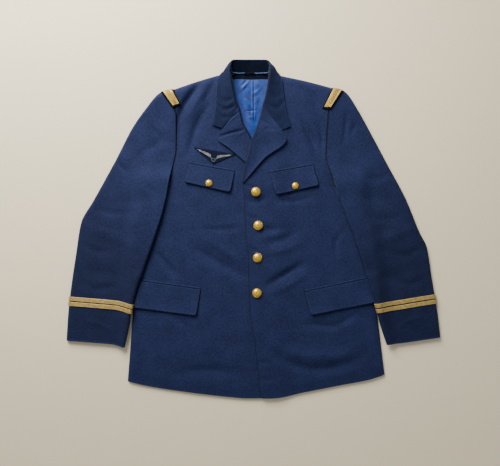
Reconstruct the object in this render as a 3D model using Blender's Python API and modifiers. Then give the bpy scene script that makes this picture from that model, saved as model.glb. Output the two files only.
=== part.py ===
# A single-breasted uniform jacket, laid out flat and face up.
# The frame's origin is on the floor below the middle of the jacket.
# +X is the wearer's left, +Y is towards the collar and +Z is up. Lengths are in metres.
# Right and left in every name are the wearer's.

import math
from collections import namedtuple

import bmesh
import bpy
from mathutils import Vector
from mathutils.bvhtree import BVHTree

COLLECTION = "uniform_jacket"
MM = 0.001

# Walls and the gaps between pieces
GAP = 0.4 * MM
SEAM_GAP = 0.5 * MM
BACK_WALL = 2.5 * MM
LINING_WALL = 1.0 * MM
FRONT_WALL = 3.0 * MM
LAPEL_WALL = 2.6 * MM
FALL_WALL = 2.4 * MM
STAND_WALL = 2.0 * MM
FLAP_WALL = 2.2 * MM
JETTING_WALL = 1.0 * MM
SLEEVE_UNDER_WALL = 2.2 * MM
SLEEVE_HOLLOW = 3.4 * MM

# Heights of the layers above the floor
FRONT_TOP = 7.3 * MM
LINING_TOP = 3.8 * MM
SLEEVE_TOP = 9.2 * MM
SHOULDER_RISE = 12.0 * MM
LAP_RISE = 3.6 * MM
EDGE_TOP = 3.0 * MM

# Outlines, each a list of (x, y). The roll lines are the folds of the lapels and the collar.
ROLL_RIGHT = [(-0.0325, 0.2860), (-0.0245, 0.2540), (-0.0148, 0.2346), (-0.0050, 0.2173),
              (0.0055, 0.1950), (0.0190, 0.1580), (0.0300, 0.1180)]
ROLL_LEFT = [(0.0206, 0.2880), (0.0150, 0.2660), (0.0045, 0.2336), (-0.0013, 0.2165),
             (-0.0062, 0.2086), (-0.0129, 0.1758), (-0.0222, 0.1430), (-0.0271, 0.1105)]
LAPEL_EDGE_RIGHT = [(-0.0738, 0.2345), (-0.0843, 0.2136), (-0.0554, 0.1884), (-0.0283, 0.1653),
                    (0.0020, 0.1370), (0.0270, 0.1160)]
LAPEL_EDGE_LEFT = [(0.0662, 0.2294), (0.0769, 0.2101), (0.0257, 0.1648), (-0.0235, 0.1085)]
FRONT_EDGE_RIGHT = [(0.0340, 0.1040), (0.0300, 0.0222), (0.0300, -0.1653), (0.0339, -0.3060),
                    (0.0400, -0.3965)]
FRONT_EDGE_LEFT = [(-0.0262, 0.1060), (-0.0228, 0.0752), (-0.0204, 0.0282), (-0.0183, -0.0167),
                   (-0.0136, -0.0613), (-0.0127, -0.1060), (-0.0104, -0.1508), (-0.0092, -0.1866),
                   (0.0027, -0.2691), (0.0107, -0.3381), (0.0160, -0.3880), (0.0215, -0.3965)]
NECK_RIGHT = [(-0.0692, 0.3664), (-0.0668, 0.3551), (-0.0590, 0.3410), (-0.0500, 0.3190)]
NECK_LEFT = [(0.0548, 0.3634), (0.0524, 0.3540), (0.0438, 0.3400), (0.0350, 0.3170)]
SIDE_RIGHT = [(-0.2237, 0.0831), (-0.2495, 0.0620), (-0.2682, 0.0105), (-0.2764, -0.0715),
              (-0.2811, -0.1417), (-0.2848, -0.2038), (-0.2905, -0.2823), (-0.2963, -0.3572)]
SIDE_LEFT = [(0.2166, 0.0831), (0.2423, 0.0620), (0.2634, 0.0105), (0.2751, -0.0715),
             (0.2833, -0.1417), (0.2938, -0.2242), (0.3086, -0.3417)]
HEM_RIGHT = [(0.0400, -0.3965), (-0.0152, -0.3972), (-0.0505, -0.3946), (-0.1609, -0.3817),
             (-0.2525, -0.3676), (-0.2963, -0.3572)]
HEM_LEFT = [(0.0215, -0.3965), (0.0505, -0.3958), (0.1256, -0.3817), (0.1984, -0.3676),
            (0.2712, -0.3535), (0.3086, -0.3417)]

# The sleeves: where each row starts on the outer fold and ends on the inner fold
SleeveRow = namedtuple("SleeveRow", "share outer_x outer_y inner_x inner_y")
SLEEVE_RIGHT = [
    SleeveRow(0.00, -0.1842, 0.3296, -0.2038, 0.0756),
    SleeveRow(0.04, -0.2030, 0.3272, -0.2070, 0.0600),
    SleeveRow(0.08, -0.2180, 0.3215, -0.2100, 0.0460),
    SleeveRow(0.18, -0.2570, 0.2780, -0.2165, 0.0200),
    SleeveRow(0.26, -0.2830, 0.2420, -0.2215, 0.0050),
    SleeveRow(0.40, -0.3255, 0.1607, -0.2330, -0.0300),
    SleeveRow(0.53, -0.3759, 0.0692, -0.2445, -0.0640),
    SleeveRow(0.62, -0.4060, 0.0150, -0.2555, -0.0949),
    SleeveRow(0.72, -0.4175, -0.0560, -0.2718, -0.1405),
    SleeveRow(0.82, -0.4280, -0.1260, -0.2805, -0.1760),
    SleeveRow(0.91, -0.4360, -0.1960, -0.2905, -0.2300),
    SleeveRow(1.00, -0.4402, -0.2610, -0.3010, -0.2760),
]
SLEEVE_LEFT = [
    SleeveRow(0.00, 0.1856, 0.3318, 0.1945, 0.0849),
    SleeveRow(0.04, 0.1985, 0.3310, 0.1975, 0.0760),
    SleeveRow(0.08, 0.2140, 0.3238, 0.2008, 0.0686),
    SleeveRow(0.18, 0.2440, 0.2820, 0.2110, 0.0420),
    SleeveRow(0.26, 0.2690, 0.2390, 0.2190, 0.0210),
    SleeveRow(0.40, 0.3155, 0.1522, 0.2330, -0.0180),
    SleeveRow(0.53, 0.3573, 0.0743, 0.2440, -0.0530),
    SleeveRow(0.62, 0.3904, -0.0059, 0.2553, -0.0874),
    SleeveRow(0.70, 0.4075, -0.0411, 0.2680, -0.1290),
    SleeveRow(0.81, 0.4195, -0.1150, 0.2830, -0.1780),
    SleeveRow(0.91, 0.4320, -0.1900, 0.2970, -0.2280),
    SleeveRow(1.00, 0.4397, -0.2530, 0.3114, -0.2697),
]
ARMHOLE_RIGHT = [(-0.1842, 0.3296), (-0.1851, 0.2833), (-0.1806, 0.2657), (-0.1820, 0.1878),
                 (-0.1912, 0.1430), (-0.1986, 0.1041), (-0.2038, 0.0756)]
ARMHOLE_LEFT = [(0.1856, 0.3318), (0.1798, 0.3032), (0.1751, 0.2685), (0.1721, 0.2177),
                (0.1707, 0.1758), (0.1840, 0.1280), (0.1915, 0.1018), (0.1945, 0.0849)]
CUFF_RIGHT = [(-0.4402, -0.2610), (-0.3823, -0.2650), (-0.3344, -0.2690), (-0.3010, -0.2760)]
CUFF_LEFT = [(0.4397, -0.2530), (0.4024, -0.2585), (0.3554, -0.2655), (0.3114, -0.2697)]

# The collar fall: its roll, its outer edge, the roll's height and how it ends.
# tuck is 0 where the fall lies out on the front and 1 where it turns under at the back neck.
FallRow = namedtuple("FallRow", "roll_x roll_y edge_x edge_y roll_top roll_low tuck lap")
COLLAR = [
    FallRow(-0.0325, 0.2875, -0.0977, 0.2441, 0.0170, 0.0044, 0.0, 0.000),
    FallRow(-0.0392, 0.3050, -0.0921, 0.2634, 0.0205, 0.0044, 0.0, 0.000),
    FallRow(-0.0440, 0.3250, -0.0883, 0.2923, 0.0240, 0.0044, 0.0, 0.000),
    FallRow(-0.0480, 0.3450, -0.0863, 0.3250, 0.0270, 0.0044, 0.0, 0.000),
    FallRow(-0.0500, 0.3600, -0.0838, 0.3470, 0.0280, 0.0060, 0.0, 0.000),
    FallRow(-0.0510, 0.3720, -0.0785, 0.3610, 0.0270, 0.0110, 0.1, 0.002),
    FallRow(-0.0512, 0.3800, -0.0670, 0.3755, 0.0250, 0.0170, 0.8, 0.003),
    FallRow(-0.0500, 0.3868, -0.0560, 0.3895, 0.0220, 0.0180, 1.0, 0.004),
    FallRow(-0.0450, 0.3912, -0.0475, 0.3960, 0.0190, 0.0155, 1.0, 0.008),
    FallRow(-0.0350, 0.3920, -0.0355, 0.3972, 0.0165, 0.0130, 1.0, 0.018),
    FallRow(-0.0180, 0.3922, -0.0181, 0.3976, 0.0150, 0.0115, 1.0, 0.024),
    FallRow(-0.0010, 0.3923, -0.0010, 0.3978, 0.0145, 0.0110, 1.0, 0.024),
    FallRow(0.0150, 0.3922, 0.0151, 0.3976, 0.0150, 0.0115, 1.0, 0.024),
    FallRow(0.0250, 0.3917, 0.0262, 0.3970, 0.0165, 0.0130, 1.0, 0.016),
    FallRow(0.0315, 0.3898, 0.0345, 0.3945, 0.0190, 0.0155, 1.0, 0.008),
    FallRow(0.0350, 0.3850, 0.0410, 0.3870, 0.0220, 0.0180, 1.0, 0.004),
    FallRow(0.0360, 0.3790, 0.0525, 0.3755, 0.0250, 0.0170, 0.8, 0.003),
    FallRow(0.0358, 0.3705, 0.0620, 0.3600, 0.0270, 0.0110, 0.1, 0.002),
    FallRow(0.0345, 0.3590, 0.0665, 0.3460, 0.0280, 0.0060, 0.0, 0.000),
    FallRow(0.0325, 0.3440, 0.0690, 0.3250, 0.0270, 0.0044, 0.0, 0.000),
    FallRow(0.0295, 0.3250, 0.0730, 0.2950, 0.0240, 0.0044, 0.0, 0.000),
    FallRow(0.0258, 0.3070, 0.0790, 0.2660, 0.0205, 0.0044, 0.0, 0.000),
    FallRow(0.0206, 0.2895, 0.0865, 0.2411, 0.0170, 0.0044, 0.0, 0.000),
]
NOTCH_RIGHT = (-0.0737, 0.2365)
NOTCH_LEFT = (0.0662, 0.2314)
NOTCH_SHARE = 0.62
FALL_CURL = 5.5 * MM

# Pocket flaps: the corners in the order top inner, top outer, bottom outer, bottom inner
FLAPS = {
    "chest_flap_right": [(-0.0440, 0.1346), (-0.1521, 0.1543), (-0.1633, 0.1108), (-0.0545, 0.0863)],
    "chest_flap_left": [(0.0368, 0.1307), (0.1400, 0.1503), (0.1531, 0.1029), (0.0515, 0.0800)],
    "hip_flap_right": [(-0.1235, -0.1410), (-0.2670, -0.1208), (-0.2830, -0.1822), (-0.1340, -0.2018)],
    "hip_flap_left": [(0.1187, -0.1471), (0.2690, -0.1150), (0.2850, -0.1705), (0.1330, -0.2010)],
}
FLAP_CORNER = 14.0 * MM
JETTING_WIDTH = 4.5 * MM

# Buttons
FRONT_BUTTONS = [(0.0052, 0.0878), (0.0108, 0.0094), (0.0092, -0.0658), (0.0078, -0.1482)]
CHEST_BUTTONS = {"chest_button_right": (-0.1040, 0.1080), "chest_button_left": (0.0973, 0.1020)}
FRONT_BUTTON_RADIUS = 10.7 * MM
CHEST_BUTTON_RADIUS = 7.7 * MM

# Shoulder bars: the corners in the order outer end front, outer end back, inner end back, inner front
BARS = {
    "right": [(-0.2138, 0.3205), (-0.1911, 0.3262), (-0.1714, 0.2903), (-0.1876, 0.2838)],
    "left": [(0.2075, 0.3225), (0.1860, 0.3292), (0.1630, 0.2822), (0.1792, 0.2806)],
}

# Cuff braid: each ring's distance from the sleeve's end at the outer and the inner fold
BRAID_WIDTH = 10.4 * MM
BRAID_RINGS = {"right": [(0.0822, 0.0818), (0.0942, 0.0938)], "left": [(0.0803, 0.0795), (0.0925, 0.0920)]}

BADGE = [(-0.1392, 0.1912), (-0.0430, 0.1752), (-0.0945, 0.1523)]

# The largest folds: where the middle is, half its length and width, its direction and its height.
# A negative height is a trough.
Fold = namedtuple("Fold", "x y half_length half_width degrees height")
FRONT_FOLDS = [
    Fold(-0.1500, 0.2980, 0.060, 0.011, 62, -2.6 * MM),
    Fold(-0.1130, 0.2700, 0.070, 0.013, 72, -1.6 * MM),
    Fold(0.1530, 0.2950, 0.045, 0.011, 115, -2.4 * MM),
    Fold(0.1380, 0.2080, 0.050, 0.012, 122, -1.8 * MM),
    Fold(0.0800, -0.1020, 0.050, 0.010, 28, -2.4 * MM),
    Fold(0.0720, 0.0020, 0.030, 0.009, -8, -1.2 * MM),
    Fold(0.1600, -0.2160, 0.070, 0.014, 12, -2.0 * MM),
    Fold(-0.0650, -0.0700, 0.060, 0.012, -36, -1.6 * MM),
    Fold(-0.2150, -0.0650, 0.040, 0.011, -55, -1.4 * MM),
    Fold(0.1500, -0.3000, 0.110, 0.030, 4, 1.8 * MM),
    Fold(-0.1400, -0.2900, 0.100, 0.032, -6, 1.6 * MM),
]
SLEEVE_FOLDS = [
    Fold(-0.2430, 0.1900, 0.045, 0.011, 35, -2.2 * MM),
    Fold(-0.2850, 0.0650, 0.060, 0.014, 12, -2.0 * MM),
    Fold(-0.3350, -0.0150, 0.060, 0.014, -22, 2.4 * MM),
    Fold(-0.3450, -0.1050, 0.060, 0.015, -14, -1.8 * MM),
    Fold(0.2350, 0.1850, 0.045, 0.011, 145, -2.2 * MM),
    Fold(0.2800, 0.0700, 0.060, 0.014, 168, -2.0 * MM),
    Fold(0.3300, -0.0150, 0.060, 0.014, 202, 2.4 * MM),
    Fold(0.3420, -0.1050, 0.060, 0.015, 196, -1.8 * MM),
]

Finish = namedtuple("Finish", "color roughness metallic")
FINISHES = {
    "navy_wool": Finish((0.012, 0.019, 0.055), 0.85, 0.0),
    "blue_lining": Finish((0.030, 0.110, 0.420), 0.40, 0.0),
    "black_felt": Finish((0.006, 0.007, 0.012), 0.90, 0.0),
    "gold_lace": Finish((0.620, 0.420, 0.120), 0.45, 0.6),
    "gilt_button": Finish((0.780, 0.500, 0.120), 0.25, 1.0),
}


def smooth_step(value, start=0.0, end=1.0):
    share = min(max((value - start) / (end - start), 0.0), 1.0)
    return share * share * (3.0 - 2.0 * share)


def mix(a, b, share):
    return tuple(p + (q - p) * share for p, q in zip(a, b))


def shares_of_length(points):
    lengths = [0.0]
    for a, b in zip(points, points[1:]):
        lengths.append(lengths[-1] + math.dist(a, b))
    return [length / lengths[-1] for length in lengths]


def shares_of_fall(points):
    top, bottom = points[0][1], points[-1][1]
    return [(top - point[1]) / (top - bottom) for point in points]


def slopes_of(shares, values):
    steps = [(b - a) / (t - s) for s, t, a, b in zip(shares, shares[1:], values, values[1:])]
    inner = [2.0 * a * b / (a + b) if a * b > 0.0 else 0.0 for a, b in zip(steps, steps[1:])]
    return [steps[0]] + inner + [steps[-1]]


def path(points, shares=None):
    """Return a function that reads a smooth line through the points, from 0 at its start to 1."""
    shares = shares or shares_of_length(points)
    columns = list(zip(*points))
    slopes = [slopes_of(shares, column) for column in columns]

    def read(share):
        share = min(max(share, 0.0), 1.0)
        index = max(i for i in range(len(shares) - 1) if shares[i] <= share or i == 0)
        step = shares[index + 1] - shares[index]
        t = (share - shares[index]) / step
        weights = (2 * t**3 - 3 * t**2 + 1, t**3 - 2 * t**2 + t, 3 * t**2 - 2 * t**3, t**3 - t**2)
        return tuple(
            weights[0] * column[index] + weights[1] * step * slope[index]
            + weights[2] * column[index + 1] + weights[3] * step * slope[index + 1]
            for column, slope in zip(columns, slopes)
        )

    return read


def moved_in(points, distance):
    """Return an outline moved to the left of its own direction by a distance."""
    result = []
    for index, point in enumerate(points):
        before = points[max(index - 1, 0)]
        after = points[min(index + 1, len(points) - 1)]
        along = Vector((after[0] - before[0], after[1] - before[1])).normalized()
        result.append((point[0] - along.y * distance, point[1] + along.x * distance))
    return result


def patch(top, bottom, inner, outer):
    """Return a function that reads the sheet spanned by four boundary lines."""
    def read(u, v):
        rails = mix(inner(v), outer(v), u)
        rungs = mix(top(u), bottom(u), v)
        corners = mix(mix(inner(0), outer(0), u), mix(inner(1), outer(1), u), v)
        return tuple(a + b - c for a, b, c in zip(rails, rungs, corners))

    return read


def fold_height(folds, x, y):
    total = 0.0
    for fold in folds:
        angle = math.radians(fold.degrees)
        dx, dy = x - fold.x, y - fold.y
        along = (dx * math.cos(angle) + dy * math.sin(angle)) / fold.half_length
        across = (dy * math.cos(angle) - dx * math.sin(angle)) / fold.half_width
        total += fold.height * math.exp(-along * along - across * across)
    return total


def shoulder_rise(x, y):
    """The padding under the shoulders, highest at the sleeve heads."""
    towards_tip = 0.6 + 0.4 * smooth_step(abs(x), 0.05, 0.18)
    return SHOULDER_RISE * smooth_step(y, 0.19, 0.33) * towards_tip


def chest_fullness(x, y):
    return 2.2 * MM * math.exp(-((abs(x) - 0.115) / 0.06) ** 2 - ((y - 0.12) / 0.09) ** 2)


def lap_height(x, y):
    """How far the left front stands higher, over the right front and over the right lapel."""
    over_front = 1.0 - smooth_step(x, 0.050, 0.105)
    over_front *= 1.0 - smooth_step(y, 0.215, 0.275)
    over_lapel = 1.0 - smooth_step(x, 0.042, 0.095)
    over_lapel *= smooth_step(y, 0.065, 0.104) * (1.0 - smooth_step(y, 0.222, 0.262))
    return LAP_RISE * (over_front + over_lapel)


def front_top(x, y, left):
    """The upper surface of a front, before its outer edges turn down."""
    height = FRONT_TOP + shoulder_rise(x, y) + chest_fullness(x, y) + fold_height(FRONT_FOLDS, x, y)
    return height + (lap_height(x, y) if left else 0.0)


def side_x(side, y):
    """Where the body's side edge runs, below the underarm."""
    below = [point for point in side if point[1] < 0.063]
    y = min(max(y, below[-1][1]), below[0][1])
    for a, b in zip(below, below[1:]):
        if b[1] <= y <= a[1]:
            return a[0] + (b[0] - a[0]) * (a[1] - y) / (a[1] - b[1])
    return below[-1][0]


def new_object(name, mesh, finish):
    mesh.materials.append(MATERIALS[finish])
    thing = bpy.data.objects.new(name, mesh)
    PARTS.objects.link(thing)
    for polygon in mesh.polygons:
        polygon.use_smooth = True
    mesh.set_sharp_from_angle(angle=math.radians(40))
    return thing


def wall(name, finish, outer_rows, inner_rows):
    """A closed wall between two grids of points of the same size."""
    rows, columns = len(outer_rows), len(outer_rows[0])
    mesh = bpy.data.meshes.new(name)
    shape = bmesh.new()
    bmesh.ops.create_grid(shape, x_segments=columns - 1, y_segments=rows - 1, size=0.5)
    shape.verts.ensure_lookup_table()
    sites = [(index // columns, index % columns) for index in range(rows * columns)]
    bmesh.ops.duplicate(shape, geom=shape.verts[:] + shape.edges[:] + shape.faces[:])
    shape.verts.ensure_lookup_table()
    for index, (row, column) in enumerate(sites):
        shape.verts[index].co = outer_rows[row][column]
        shape.verts[index + rows * columns].co = inner_rows[row][column]
    rims = [edge for edge in shape.edges if edge.is_boundary]
    bmesh.ops.bridge_loops(shape, edges=rims)
    bmesh.ops.recalc_face_normals(shape, faces=shape.faces)
    shape.to_mesh(mesh)
    shape.free()
    return new_object(name, mesh, finish)


def ring_wall(name, finish, outer_rings, inner_rings):
    """A tube's wall between closed outer and inner rings, open at both ends."""
    mesh = bpy.data.meshes.new(name)
    shape = bmesh.new()
    count = len(outer_rings[0])
    outer = [[shape.verts.new(point) for point in ring] for ring in outer_rings]
    inner = [[shape.verts.new(point) for point in ring] for ring in inner_rings]
    for rings in (outer, inner):
        for ring, after in zip(rings, rings[1:]):
            for k in range(count):
                n = (k + 1) % count
                shape.faces.new((ring[k], ring[n], after[n], after[k]))
    for end in (0, -1):
        for k in range(count):
            n = (k + 1) % count
            shape.faces.new((outer[end][k], outer[end][n], inner[end][n], inner[end][k]))
    bmesh.ops.recalc_face_normals(shape, faces=shape.faces)
    shape.to_mesh(mesh)
    shape.free()
    return new_object(name, mesh, finish)


def laid_piece(name, finish, plan, columns, rows, under, thickness, lift=None):
    """A flat piece that follows what it lies on, one gap above it."""
    low, high = [], []
    for v in rows:
        low.append([])
        high.append([])
        for u in columns:
            x, y = plan(u, v)
            z = under(x, y) + GAP + (lift(u, v) if lift else 0.0)
            low[-1].append((x, y, z))
            high[-1].append((x, y, z + thickness))
    return wall(name, finish, high, low)


def even(count):
    return [index / count for index in range(count + 1)]


FRONT_COLUMNS = [math.sin(share * math.pi / 2) for share in even(10)]
SHOULDER_ROWS = [0.004, 0.018, 0.055]
BODY_ROWS = [0.40, 0.44, 0.49, 0.55, 0.61, 0.67, 0.73, 0.80, 0.87, 0.94, 0.98, 1.0]
SHOULDER_ROUND = 17.0 * MM
SIDE_ROUND = 13.0 * MM
UNDERARM_Y = 0.0980
SLEEVE_COUNT = 24


def seam_shares():
    """Where the sleeve's ring has its points along the armhole."""
    half = SLEEVE_COUNT // 2
    return [0.5 - 0.5 * math.cos(math.pi * k / half) for k in range(half + 1)]


def front_side(left, inset):
    """A front's outer line: along the armhole seam, then out below the sleeve and down the side."""
    sign = 1.0 if left else -1.0
    armhole = path(ARMHOLE_LEFT if left else ARMHOLE_RIGHT)
    seam = [armhole(share) for share in seam_shares()]
    seam = moved_in(seam, -sign * inset)
    side = SIDE_LEFT if left else SIDE_RIGHT
    below = side if inset < 1.0 * MM else moved_in(side, -sign * inset)
    return [point for point in seam if point[1] > UNDERARM_Y], below


def front_plan(left):
    """A front's plan, and the rows that meet the sleeve's points along the seam."""
    if left:
        roll = [point for point in moved_in(ROLL_LEFT, 4.6 * MM) if point[1] < 0.305]
        inner = NECK_LEFT + roll + FRONT_EDGE_LEFT
        hem = HEM_LEFT
    else:
        roll = [point for point in moved_in(ROLL_RIGHT, -5.6 * MM) if point[1] < 0.305]
        inner = NECK_RIGHT + roll + FRONT_EDGE_RIGHT
        hem = HEM_RIGHT
    seam, below = front_side(left, SEAM_GAP)
    side = seam + below
    shares = shares_of_fall(side)
    middle_x, middle_y = mix(inner[0], side[0], 0.5)
    shoulder = [inner[0], (middle_x, middle_y + 1.6 * MM), side[0]]
    plan = patch(path(shoulder), path(hem), path(inner, shares_of_fall(inner)), path(side, shares))
    seam_rows = shares[:len(seam) + 2]
    between = [(a + b) / 2 for a, b in zip(seam_rows, seam_rows[1:]) if a > 0.28]
    rows = sorted(seam_rows + between + SHOULDER_ROWS + [v for v in BODY_ROWS if v > seam_rows[-1] + 0.01])
    return plan, rows, seam_rows[-3]


def turned_down(distance, radius):
    """The share of full height at a distance from a rounded edge."""
    return math.sqrt(max(1.0 - (1.0 - min(max(distance, 0.0) / radius, 1.0)) ** 2, 0.0))


def make_front(name, left):
    """A front: it turns down to the floor at the shoulder and at the side, and lies on the back."""
    plan, rows, underarm = front_plan(left)
    high, low = [], []
    for v in rows:
        high.append([])
        low.append([])
        for u in FRONT_COLUMNS:
            x, y = plan(u, v)
            full = front_top(x, y, left) - 1.2 * MM * smooth_step(v, 0.96, 1.0)
            padding = 0.92 * shoulder_rise(x, y) + chest_fullness(x, y)
            above_side = SIDE_ROUND * (1.0 - smooth_step(v, underarm, underarm + 0.03))
            from_side = math.dist((x, y), plan(1.0, v)) + above_side
            from_shoulder = math.dist((x, y), plan(u, 0.0))
            turn = turned_down(from_side, SIDE_ROUND) * turned_down(from_shoulder, SHOULDER_ROUND)
            top = EDGE_TOP + (full - EDGE_TOP) * turn
            bottom = min(max(top - FRONT_WALL, 0.0), full - FRONT_WALL - padding)
            high[-1].append((x, y, top))
            low[-1].append((x, y, bottom))
    return wall(name, "navy_wool", high, low)


def make_back(name, left):
    """Half of the back, flat on the floor, inside the fronts' turned edges."""
    hem = HEM_LEFT if left else HEM_RIGHT
    sign = 1.0 if left else -1.0
    inset = 7.0 * MM
    seam, below = front_side(left, inset)
    outer = seam + below
    outer[0] = (seam[0][0], seam[0][1] - inset)
    outer[-1] = (below[-1][0], below[-1][1] + 2.0 * MM)
    neck_x = 0.050 if left else 0.066
    top = [(sign * 0.25 * MM, 0.3635), (sign * (neck_x - 0.010), 0.3630), (sign * neck_x, 0.3575), outer[0]]
    centre = [top[0], (top[0][0], -0.3950)]
    bottom = [centre[-1]] + [(x, y + 2.0 * MM) for x, y in hem if sign * x > 0.04] + [outer[-1]]
    bottom = [point for index, point in enumerate(bottom) if index == 0 or point != bottom[index - 1]]
    plan = patch(path(top), path(bottom), path(centre), path(outer, shares_of_fall(outer)))
    rows = [0.0, 0.05, 0.12, 0.20, 0.28, 0.33, 0.36, 0.39, 0.43, 0.50, 0.60, 0.70, 0.80, 0.90, 1.0]
    columns = [0.0, 0.15, 0.22, 0.27, 0.34, 0.55, 0.78, 1.0]
    points = [[plan(u, v) for u in columns] for v in rows]
    high = [[(x, y, BACK_WALL) for x, y in row] for row in points]
    low = [[(x, y, 0.0) for x, y in row] for row in points]
    return wall(name, "navy_wool", high, low)


def make_lining():
    """The back lining, seen in the neck, with its centre pleat."""
    corners = [(-0.056, 0.3625), (0.042, 0.3625), (0.036, 0.178), (-0.036, 0.178)]

    def height(x, y):
        middle = -0.002 - 0.006 * (y - 0.2165) / 0.15
        half_opening = 0.0415 * max(y - 0.2165, 0.0) / 0.15 + 0.0001
        inside = smooth_step(1.0 - abs(x - middle) / half_opening, 0.15, 0.6)
        inside *= smooth_step(y, 0.240, 0.275) * (1.0 - smooth_step(y, 0.34, 0.36))
        pleat = 1.4 * math.exp(-((x + 0.001) / 0.004) ** 2)
        fan = 0.7 * math.cos(x * 380.0 * (1.0 + 3.0 * (0.36 - y)))
        return LINING_TOP - LINING_WALL + MM * inside * (pleat + fan + 0.7)

    def plan(u, v):
        return mix(mix(corners[0], corners[1], u), mix(corners[3], corners[2], u), v)

    return laid_piece(
        "back_lining", "blue_lining", plan, even(14), even(9), lambda x, y: height(x, y) - GAP, LINING_WALL
    )


def curled_section(row, left_side, count_curl, count_flat, wall_thickness, under, curl, power):
    """The upper side of a folded section: (distance from the roll, height), from its low inner edge."""
    reach = math.dist((row.roll_x, row.roll_y), (row.edge_x, row.edge_y))
    curl = min(curl, reach * 0.45)
    points = []
    for k in range(count_curl):
        angle = math.pi / 2 * k / (count_curl - 1)
        points.append((curl * (1.0 - math.cos(angle)),
                       row.roll_low + (row.roll_top - row.roll_low) * math.sin(angle)))
    start = under(row.roll_x, row.roll_y, left_side) + GAP + wall_thickness
    for k in range(1, count_flat + 1):
        share = k / count_flat
        x = row.roll_x + (row.edge_x - row.roll_x) * share
        y = row.roll_y + (row.edge_y - row.roll_y) * share
        rest = under(x, y, left_side) + GAP + wall_thickness
        height = rest + max(row.roll_top - start, 0.0) * (1.0 - share) ** power
        points.append((curl + (reach - curl) * share, height))
    return points


def tucked_section(row, count):
    """The back neck's section: over the roll, down to the floor and a little way under."""
    reach = math.dist((row.roll_x, row.roll_y), (row.edge_x, row.edge_y))
    turn = min(2.4 * MM, reach * 0.5)
    control = [(0.0, row.roll_low), (0.2 * turn, row.roll_top - 0.8 * MM), (turn, row.roll_top),
               (0.92 * reach, row.roll_top * 0.72), (reach, row.roll_top * 0.40), (0.86 * reach, 0.8 * MM),
               (0.55 * reach, 0.0), (0.55 * reach - max(row.lap, 2.0 * MM), 0.0)]
    line = path(control)
    return [line(k / (count - 1)) for k in range(count)]


def inside_of(section, thickness):
    """Move a section inwards along its own normals."""
    result = []
    for k, point in enumerate(section):
        before, after = section[max(k - 1, 0)], section[min(k + 1, len(section) - 1)]
        along = Vector((after[0] - before[0], after[1] - before[1])).normalized()
        result.append((point[0] + along.y * thickness, point[1] - along.x * thickness))
    return result


def place_section(row, section, bend, fade):
    """Turn a section's (distance, height) pairs into points, bent towards the notch at an end."""
    reach = math.dist((row.roll_x, row.roll_y), (row.edge_x, row.edge_y))
    out = Vector((row.edge_x - row.roll_x, row.edge_y - row.roll_y)) / reach
    points = []
    for distance, height in section:
        share = min(max(distance / reach, 0.0), 1.0)
        tent = share / NOTCH_SHARE if share < NOTCH_SHARE else (1.0 - share) / (1.0 - NOTCH_SHARE)
        x = row.roll_x + out.x * distance + bend[0] * tent * fade
        y = row.roll_y + out.y * distance + bend[1] * tent * fade
        points.append((x, y, height))
    return points


def notch_bend(row, notch):
    """How far the notch lies off the straight line from a row's roll to its edge."""
    straight = mix((row.roll_x, row.roll_y), (row.edge_x, row.edge_y), NOTCH_SHARE)
    return notch[0] - straight[0], notch[1] - straight[1]


def make_collar_fall(surface):
    """The fall: it lies on both fronts and turns under itself round the back neck."""
    def under(x, y, left_side):
        return max(front_top(x, y, left_side), surface(x, y, 5.0 * MM))

    curls, flats = 5, 6
    rows = path(COLLAR, even(len(COLLAR) - 1))
    bend_right = notch_bend(COLLAR[0], NOTCH_RIGHT)
    bend_left = notch_bend(COLLAR[-1], NOTCH_LEFT)
    high, low = [], []
    count = 32
    for index in range(count + 1):
        share = index / count
        row = FallRow(*rows(share))
        left_side = share > 0.5
        lying = curled_section(row, left_side, curls, flats, FALL_WALL, under, FALL_CURL, 1.9)
        tucked = tucked_section(row, curls + flats)
        section = [mix(a, b, row.tuck) for a, b in zip(lying, tucked)]
        wall_here = FALL_WALL - 0.9 * MM * row.tuck
        fade = max(1.0 - share / 0.12, 0.0) if not left_side else max(1.0 - (1.0 - share) / 0.12, 0.0)
        bend = bend_left if left_side else bend_right
        high.append(place_section(row, section, bend, fade))
        low.append(place_section(row, inside_of(section, wall_here), bend, fade))
    return wall("collar_fall", "navy_wool", high, low)


def make_collar_stand():
    """The black inner side of the collar at the back neck."""
    upper = [(-0.0496, 0.3850), (-0.0446, 0.3905), (-0.0348, 0.3914), (-0.0010, 0.3917), (0.0248, 0.3911),
             (0.0310, 0.3892), (0.0345, 0.3835)]
    lower = [(-0.0490, 0.3642), (-0.0010, 0.3640), (0.0338, 0.3642)]
    right = [upper[0], (-0.0503, 0.3760), lower[0]]
    left = [upper[-1], (0.0352, 0.3740), lower[-1]]
    plan = patch(path(upper), path(lower), path(right), path(left))
    heights = path([(0.0205,), (0.0162,), (0.0140,), (0.0162,), (0.0205,)])
    high, low = [], []
    for v in even(5):
        high.append([])
        low.append([])
        for u in even(16):
            x, y = plan(u, v)
            top = heights(u)[0]
            foot = 6.0 * MM + 3.0 * MM * abs(2.0 * u - 1.0) ** 3
            z = foot + (top - foot) * (1.0 - v) ** 0.9
            high[-1].append((x, y, z))
            low[-1].append((x, y, z - STAND_WALL))
    return wall("collar_stand", "black_felt", high, low)


def make_hanger_loop():
    """A flat black loop, sewn on at the neck seam."""
    def plan(u, v):
        return (-0.0225 + 0.0260 * u, 0.3668 - 0.0036 * v + 0.0012 * math.sin(math.pi * u))

    def under(x, y):
        return 7.4 * MM + 1.5 * MM * math.sin(math.pi * (x + 0.0225) / 0.0260)

    return laid_piece("hanger_loop", "black_felt", plan, even(6), even(1), under, 0.9 * MM)


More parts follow.
